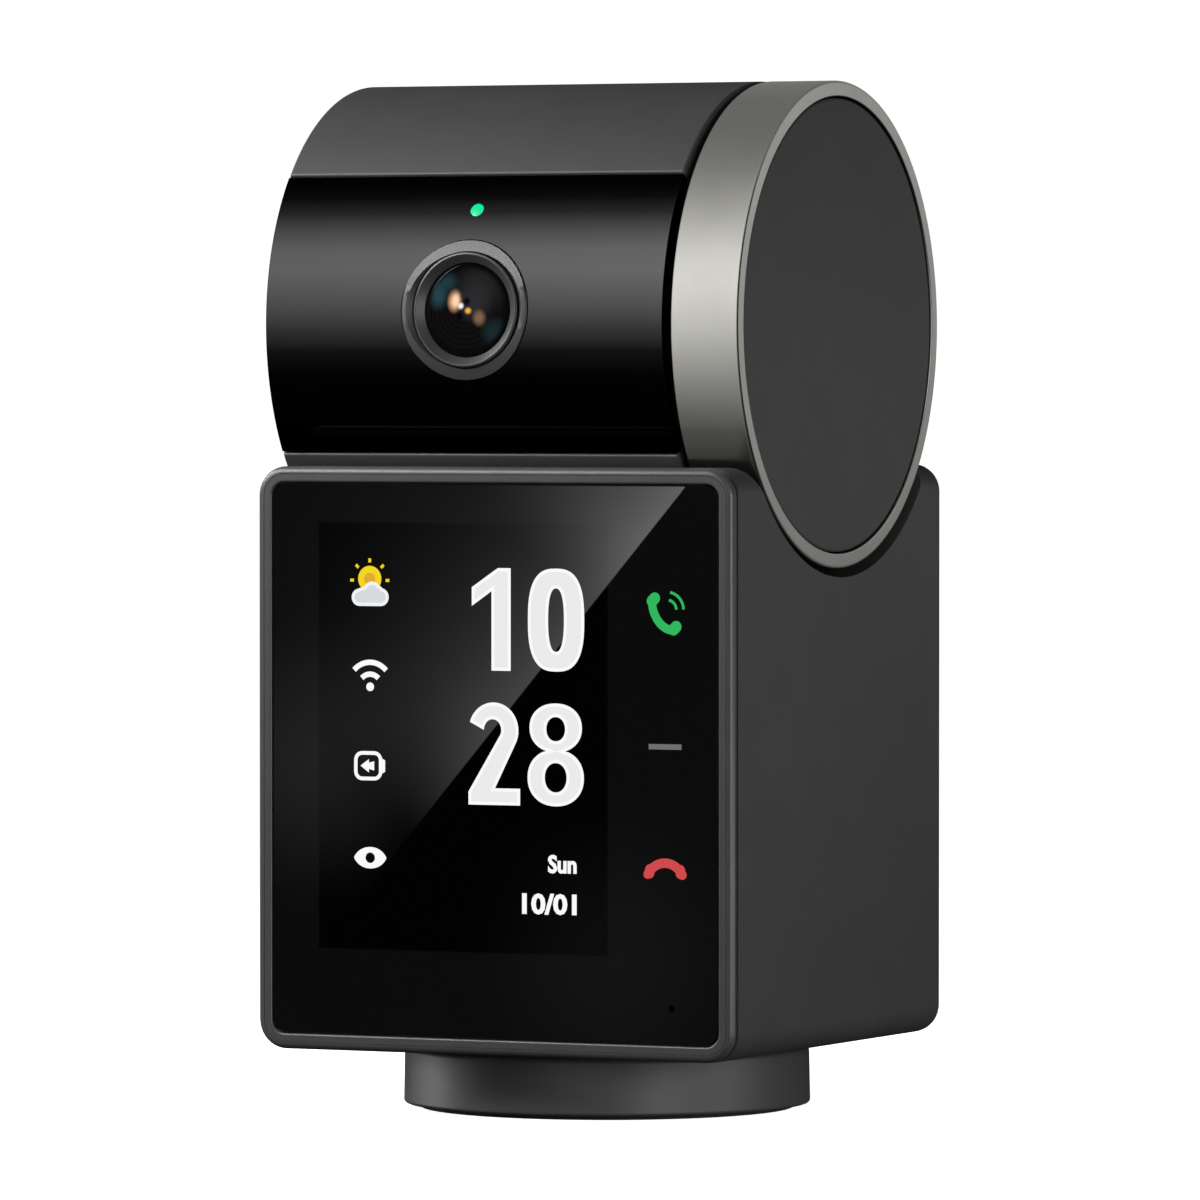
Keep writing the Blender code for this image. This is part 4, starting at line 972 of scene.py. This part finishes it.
def addLight(name, place, aim, size, power, only):
    data = bpy.data.lights.new(name, "AREA")
    data.shape = "RECTANGLE"
    data.size, data.size_y = size
    data.energy = power
    lamp = intoScene(name, data)
    lamp.location = place
    lamp.rotation_mode = "QUATERNION"
    lamp.rotation_quaternion = Vector(np.asarray(aim, float) - np.asarray(place, float)).to_track_quat("-Z", "Y")
    lamp.visible_camera = False
    if only:
        choosePieces(lamp, only)
    else:
        choosePieces(lamp, polished, leaveOut=True)


def addCard(name, mesh, pieces, makeGlow):
    # A glowing card that only the reflections of some pieces see
    material = bpy.data.materials.new(name)
    material.use_nodes = True
    tree = material.node_tree
    tree.nodes.clear()
    where = addNode(tree, "ShaderNodeTexCoord").outputs["Object"]
    glow = addNode(tree, "ShaderNodeEmission", Strength=makeGlow(tree, where))
    # See-through as well, so that no card hides another
    clear = addNode(tree, "ShaderNodeBsdfTransparent")
    both = addNode(tree, "ShaderNodeAddShader", i0=glow.outputs[0], i1=clear.outputs[0])
    addNode(tree, "ShaderNodeOutputMaterial", Surface=both.outputs[0])
    mesh.materials.append(material)
    card = intoScene(name, mesh)
    card.visible_camera = False
    card.visible_diffuse = False
    card.visible_shadow = False
    choosePieces(card, pieces)


def levelRamp(tree, value, low, high, levels):
    # Straight lines between pairs of position and level
    share = spread(tree, value, low, high, 0.0, 1.0)
    ramp = addNode(tree, "ShaderNodeValToRGB", Fac=share)
    top = max(level for _, level in levels)
    elements = ramp.color_ramp.elements
    for number, (position, level) in enumerate(levels):
        if 0 < number < len(levels) - 1:
            element = elements.new((position - low) / (high - low))
        else:
            element = elements[0 if number == 0 else len(elements) - 1]
        element.color = (level / top, level / top, level / top, 1.0)
    return math2(tree, "MULTIPLY", ramp.outputs["Color"], top)


# Degrees above the level, seen from the barrel's axis, and the glow there
arch = {
    "radius": 0.9, "left": -1.6, "right": 1.2,
    "visor": [(-24, 0.0), (-12, 0.12), (-2, 0.75), (7, 1.6), (17, 2.4), (26, 3.0), (36, 2.7), (46, 1.4), (54, 0.4),
              (62, 0.06), (70, 0.0)],
    "ring": [(-75, 0.0), (-56, 0.03), (-36, 0.36), (-21, 0.7), (-2, 1.32), (16, 1.9), (31, 1.86), (51, 0.95),
             (73, 0.46), (99, 0.32), (124, 0.28), (180, 0.28), (225, 0.1)],
}


def makeArch(name, levels, pieces, slope):
    # A strip bent round the barrel's axis; its glow depends on the angle above the level
    low, high = levels[0][0], levels[-1][0]
    angle = np.radians(np.linspace(low, high, 96))
    x = np.array([arch["left"], arch["right"]])
    radius = arch["radius"] + slope * 0.1
    y = -radius * np.cos(angle)
    z = headCentre[2] + radius * np.sin(angle)
    grid = np.stack([np.repeat(x[None], len(angle), 0), np.repeat(y[:, None], 2, 1), np.repeat(z[:, None], 2, 1)], -1)
    rows = np.arange(len(angle) - 1)
    faces = np.stack([rows * 2, rows * 2 + 1, rows * 2 + 3, rows * 2 + 2], 1)
    mesh = bpy.data.meshes.new(name)
    mesh.from_pydata(grid.reshape(-1, 3).tolist(), [], faces.tolist())

    def glow(tree, where):
        # Turned back by the middle angle, so that the angle never jumps inside the strip
        middle = math.radians((low + high) / 2.0)
        turned = addNode(tree, "ShaderNodeVectorRotate", {"rotation_type": "X_AXIS"}, Vector=where,
                         Center=(0.0, 0.0, float(headCentre[2])), Angle=middle).outputs[0]
        split = addNode(tree, "ShaderNodeSeparateXYZ", Vector=turned)
        rise = math2(tree, "SUBTRACT", split.outputs["Z"], float(headCentre[2]))
        tilt = math2(tree, "ARCTAN2", rise, math2(tree, "MULTIPLY", split.outputs["Y"], -1.0))
        degrees = math2(tree, "ADD", math2(tree, "MULTIPLY", tilt, 180.0 / math.pi), (low + high) / 2.0)
        level = levelRamp(tree, degrees, low, high, levels)
        rightward = spread(tree, split.outputs["X"], -0.53, -0.37, 1.0 - slope, 1.0 + slope)
        return math2(tree, "MULTIPLY", level, rightward)

    addCard(name, mesh, pieces, glow)


glare = {"distance": 0.7, "top": (28.9, 86.0), "bottom": (-25.2, 23.9), "gloss": 0.041, "fade": 10.5,
         "bright": 0.115, "plateau": 0.055, "dimFrom": 9.0, "dimTo": 24.0, "endFrom": 42.0, "endTo": 64.0,
         # Place along and away from the line, reach, strength, whether the line cuts it off
         "patches": ((64.0, 17.0, 22.0, 0.011, True), (55.0, -33.0, 24.0, 0.0035, False))}


def mirrored(x, z, distance):
    # Where a card at this distance must have a point, so that the flat glass shows it at x, z
    eye = np.array(shot["place"]) * mm
    plane = glassLow[1]
    image = np.array([eye[0], 2.0 * plane - eye[1], eye[2]])
    onGlass = np.array([x * mm, plane, z * mm])
    share = (-distance - image[1]) / (plane - image[1])
    return image + (onGlass - image) * share


def makeGlare():
    # The card lies where the flat glass shows it, so its pattern is drawn in mm on the glass: bright along one
    # side of a slanting line, dying away from it, with two weak soft patches
    corners = [mirrored(x, z, glare["distance"]) for x, z in ((-45, -5), (45, -5), (45, 100), (-45, 100))]
    mesh = bpy.data.meshes.new("glareCard")
    mesh.from_pydata([tuple(corner) for corner in corners], [], [(0, 1, 2, 3)])
    left, right, low, high = -45.0, 45.0, -5.0, 100.0
    a, b = np.array(glare["top"]), np.array(glare["bottom"])
    along = (b - a) / np.linalg.norm(b - a)
    side = np.array([along[1], -along[0]])

    def glow(tree, where):
        split = addNode(tree, "ShaderNodeSeparateXYZ", Vector=where)
        x = spread(tree, split.outputs["X"], float(corners[0][0]), float(corners[1][0]), left, right, clamp=False)
        z = spread(tree, split.outputs["Z"], float(corners[0][2]), float(corners[2][2]), low, high, clamp=False)
        x, z = math2(tree, "SUBTRACT", x, float(a[0])), math2(tree, "SUBTRACT", z, float(a[1]))
        run = math2(tree, "ADD", math2(tree, "MULTIPLY", x, float(along[0])),
                    math2(tree, "MULTIPLY", z, float(along[1])))
        away = math2(tree, "ADD", math2(tree, "MULTIPLY", x, float(side[0])),
                     math2(tree, "MULTIPLY", z, float(side[1])))
        inside = spread(tree, away, -0.08, 0.08, 0.0, 1.0)
        fade = math2(tree, "EXPONENT", math2(tree, "MULTIPLY", away, -1.0 / glare["fade"]))
        # Bright at the top, then a smooth step down to a plateau, then a smooth step down to nothing
        smooth = {"interpolation_type": "SMOOTHSTEP"}
        upper = spread(tree, run, glare["dimFrom"], glare["dimTo"], glare["bright"], glare["plateau"], **smooth)
        ending = spread(tree, run, glare["endFrom"], glare["endTo"], 1.0, 0.0, **smooth)
        level = math2(tree, "MULTIPLY", upper, ending)
        total = math2(tree, "MULTIPLY", math2(tree, "MULTIPLY", level, fade), inside)
        for runAt, awayAt, reach, strength, cut in glare["patches"]:
            offset = addNode(tree, "ShaderNodeCombineXYZ", X=math2(tree, "SUBTRACT", run, runAt),
                             Y=math2(tree, "SUBTRACT", away, awayAt)).outputs[0]
            gap = addNode(tree, "ShaderNodeVectorMath", {"operation": "LENGTH"}, i0=offset).outputs["Value"]
            patch = spread(tree, gap, 0.0, reach, strength, 0.0, **smooth)
            total = math2(tree, "ADD", total, math2(tree, "MULTIPLY", patch, inside) if cut else patch)
        return math2(tree, "DIVIDE", total, glare["gloss"])

    addCard("glareCard", mesh, ["coverGlass"], glow)


def makeRimCard():
    # Behind on the right: it gives the ring's flat end its light, weaker towards the bottom
    middle = np.array([0.207, 0.36, 0.107])
    across, up = np.array([0.9, -0.43, 0.0]) * 0.22, np.array([0.0, 0.0, 0.22])
    corners = [middle - across - up, middle + across - up, middle + across + up, middle - across + up]
    mesh = bpy.data.meshes.new("rimCard")
    mesh.from_pydata([tuple(corner) for corner in corners], [], [(0, 1, 2, 3)])

    def glow(tree, where):
        split = addNode(tree, "ShaderNodeSeparateXYZ", Vector=where)
        level = levelRamp(tree, split.outputs["Z"], 0.02, 0.2,
                          [(0.02, 0.05), (0.07, 0.11), (0.115, 0.85), (0.15, 0.62), (0.2, 0.5)])
        nearer = spread(tree, split.outputs["X"], 0.185, 0.222, 0.2, 1.05)
        return math2(tree, "MULTIPLY", level, nearer)

    addCard("rimCard", mesh, ["podRing"], glow)


def makeCamera():
    data = bpy.data.cameras.new("camera")
    data.lens = shot["lens"]
    data.sensor_width = 36.0
    data.clip_start, data.clip_end = 0.05, 20.0
    camera = intoScene("camera", data)
    camera.location = np.array(shot["place"]) * mm
    camera.rotation_euler = (math.radians(90.0 - shot["pitch"]), 0.0, math.radians(shot["yaw"]))
    bpy.context.scene.camera = camera


makeStage()
makeArch("visorArch", arch["visor"], ["visorShell"], 0.13)
makeArch("ringArch", arch["ring"], ["podRing"], 0.0)
makeGlare()
makeRimCard()
# Place and aim in metres, size, power in watts, and the pieces reached when not all
lookAt, footAt, footOnly = (0.0, 0.0, 0.07), (0.0, 0.0, 0.01), ["foot", "foot_pad"]
lamps = {
    "keySoftbox": ((-0.19, -0.26, 0.25), lookAt, (0.12, 0.12), 1.19, None),
    "rightSoftbox": ((1.0, -0.7, 0.12), lookAt, (0.5, 0.5), 8.2, None),
    "sideSoftbox": ((0.2, 0.3, 0.1), lookAt, (0.1, 0.1), 0.026, None),
    "lowSoftbox": ((0.2, 0.0, 0.02), (0.035, 0.0, 0.03), (0.08, 0.03), 0.08, None),
    "leftSoftbox": ((-0.4, -0.08, 0.3), lookAt, (0.2, 0.2), 1.8, None),
    "footSoftbox": ((-0.5, -0.04, 0.06), footAt, (0.2, 0.15), 1.1, footOnly),
    "footFill": ((0.1, -0.6, 0.03), footAt, (0.3, 0.1), 0.3, footOnly),
}
for name, values in lamps.items():
    addLight(name, *values)


def makeWorld():
    # Even light from above and little from below; mirrors see almost none of it
    world = bpy.data.worlds.new("studio")
    world.use_nodes = True
    tree = world.node_tree
    background = tree.nodes["Background"]
    background.inputs["Color"].default_value = fromHex("#ffffff")
    way = addNode(tree, "ShaderNodeTexCoord").outputs["Generated"]
    height = addNode(tree, "ShaderNodeSeparateXYZ", Vector=way).outputs["Z"]
    level = spread(tree, height, -0.3, 0.7, 0.02, 0.1)
    glossy = addNode(tree, "ShaderNodeLightPath").outputs["Is Glossy Ray"]
    strength = spread(tree, glossy, 0.0, 1.0, level, 0.015)
    tree.links.new(strength, background.inputs["Strength"])
    bpy.context.scene.world = world
    bpy.context.scene.view_settings.view_transform = "Standard"
    bpy.context.scene.view_settings.look = "None"


makeWorld()
makeCamera()
print("stage, lights and camera set")
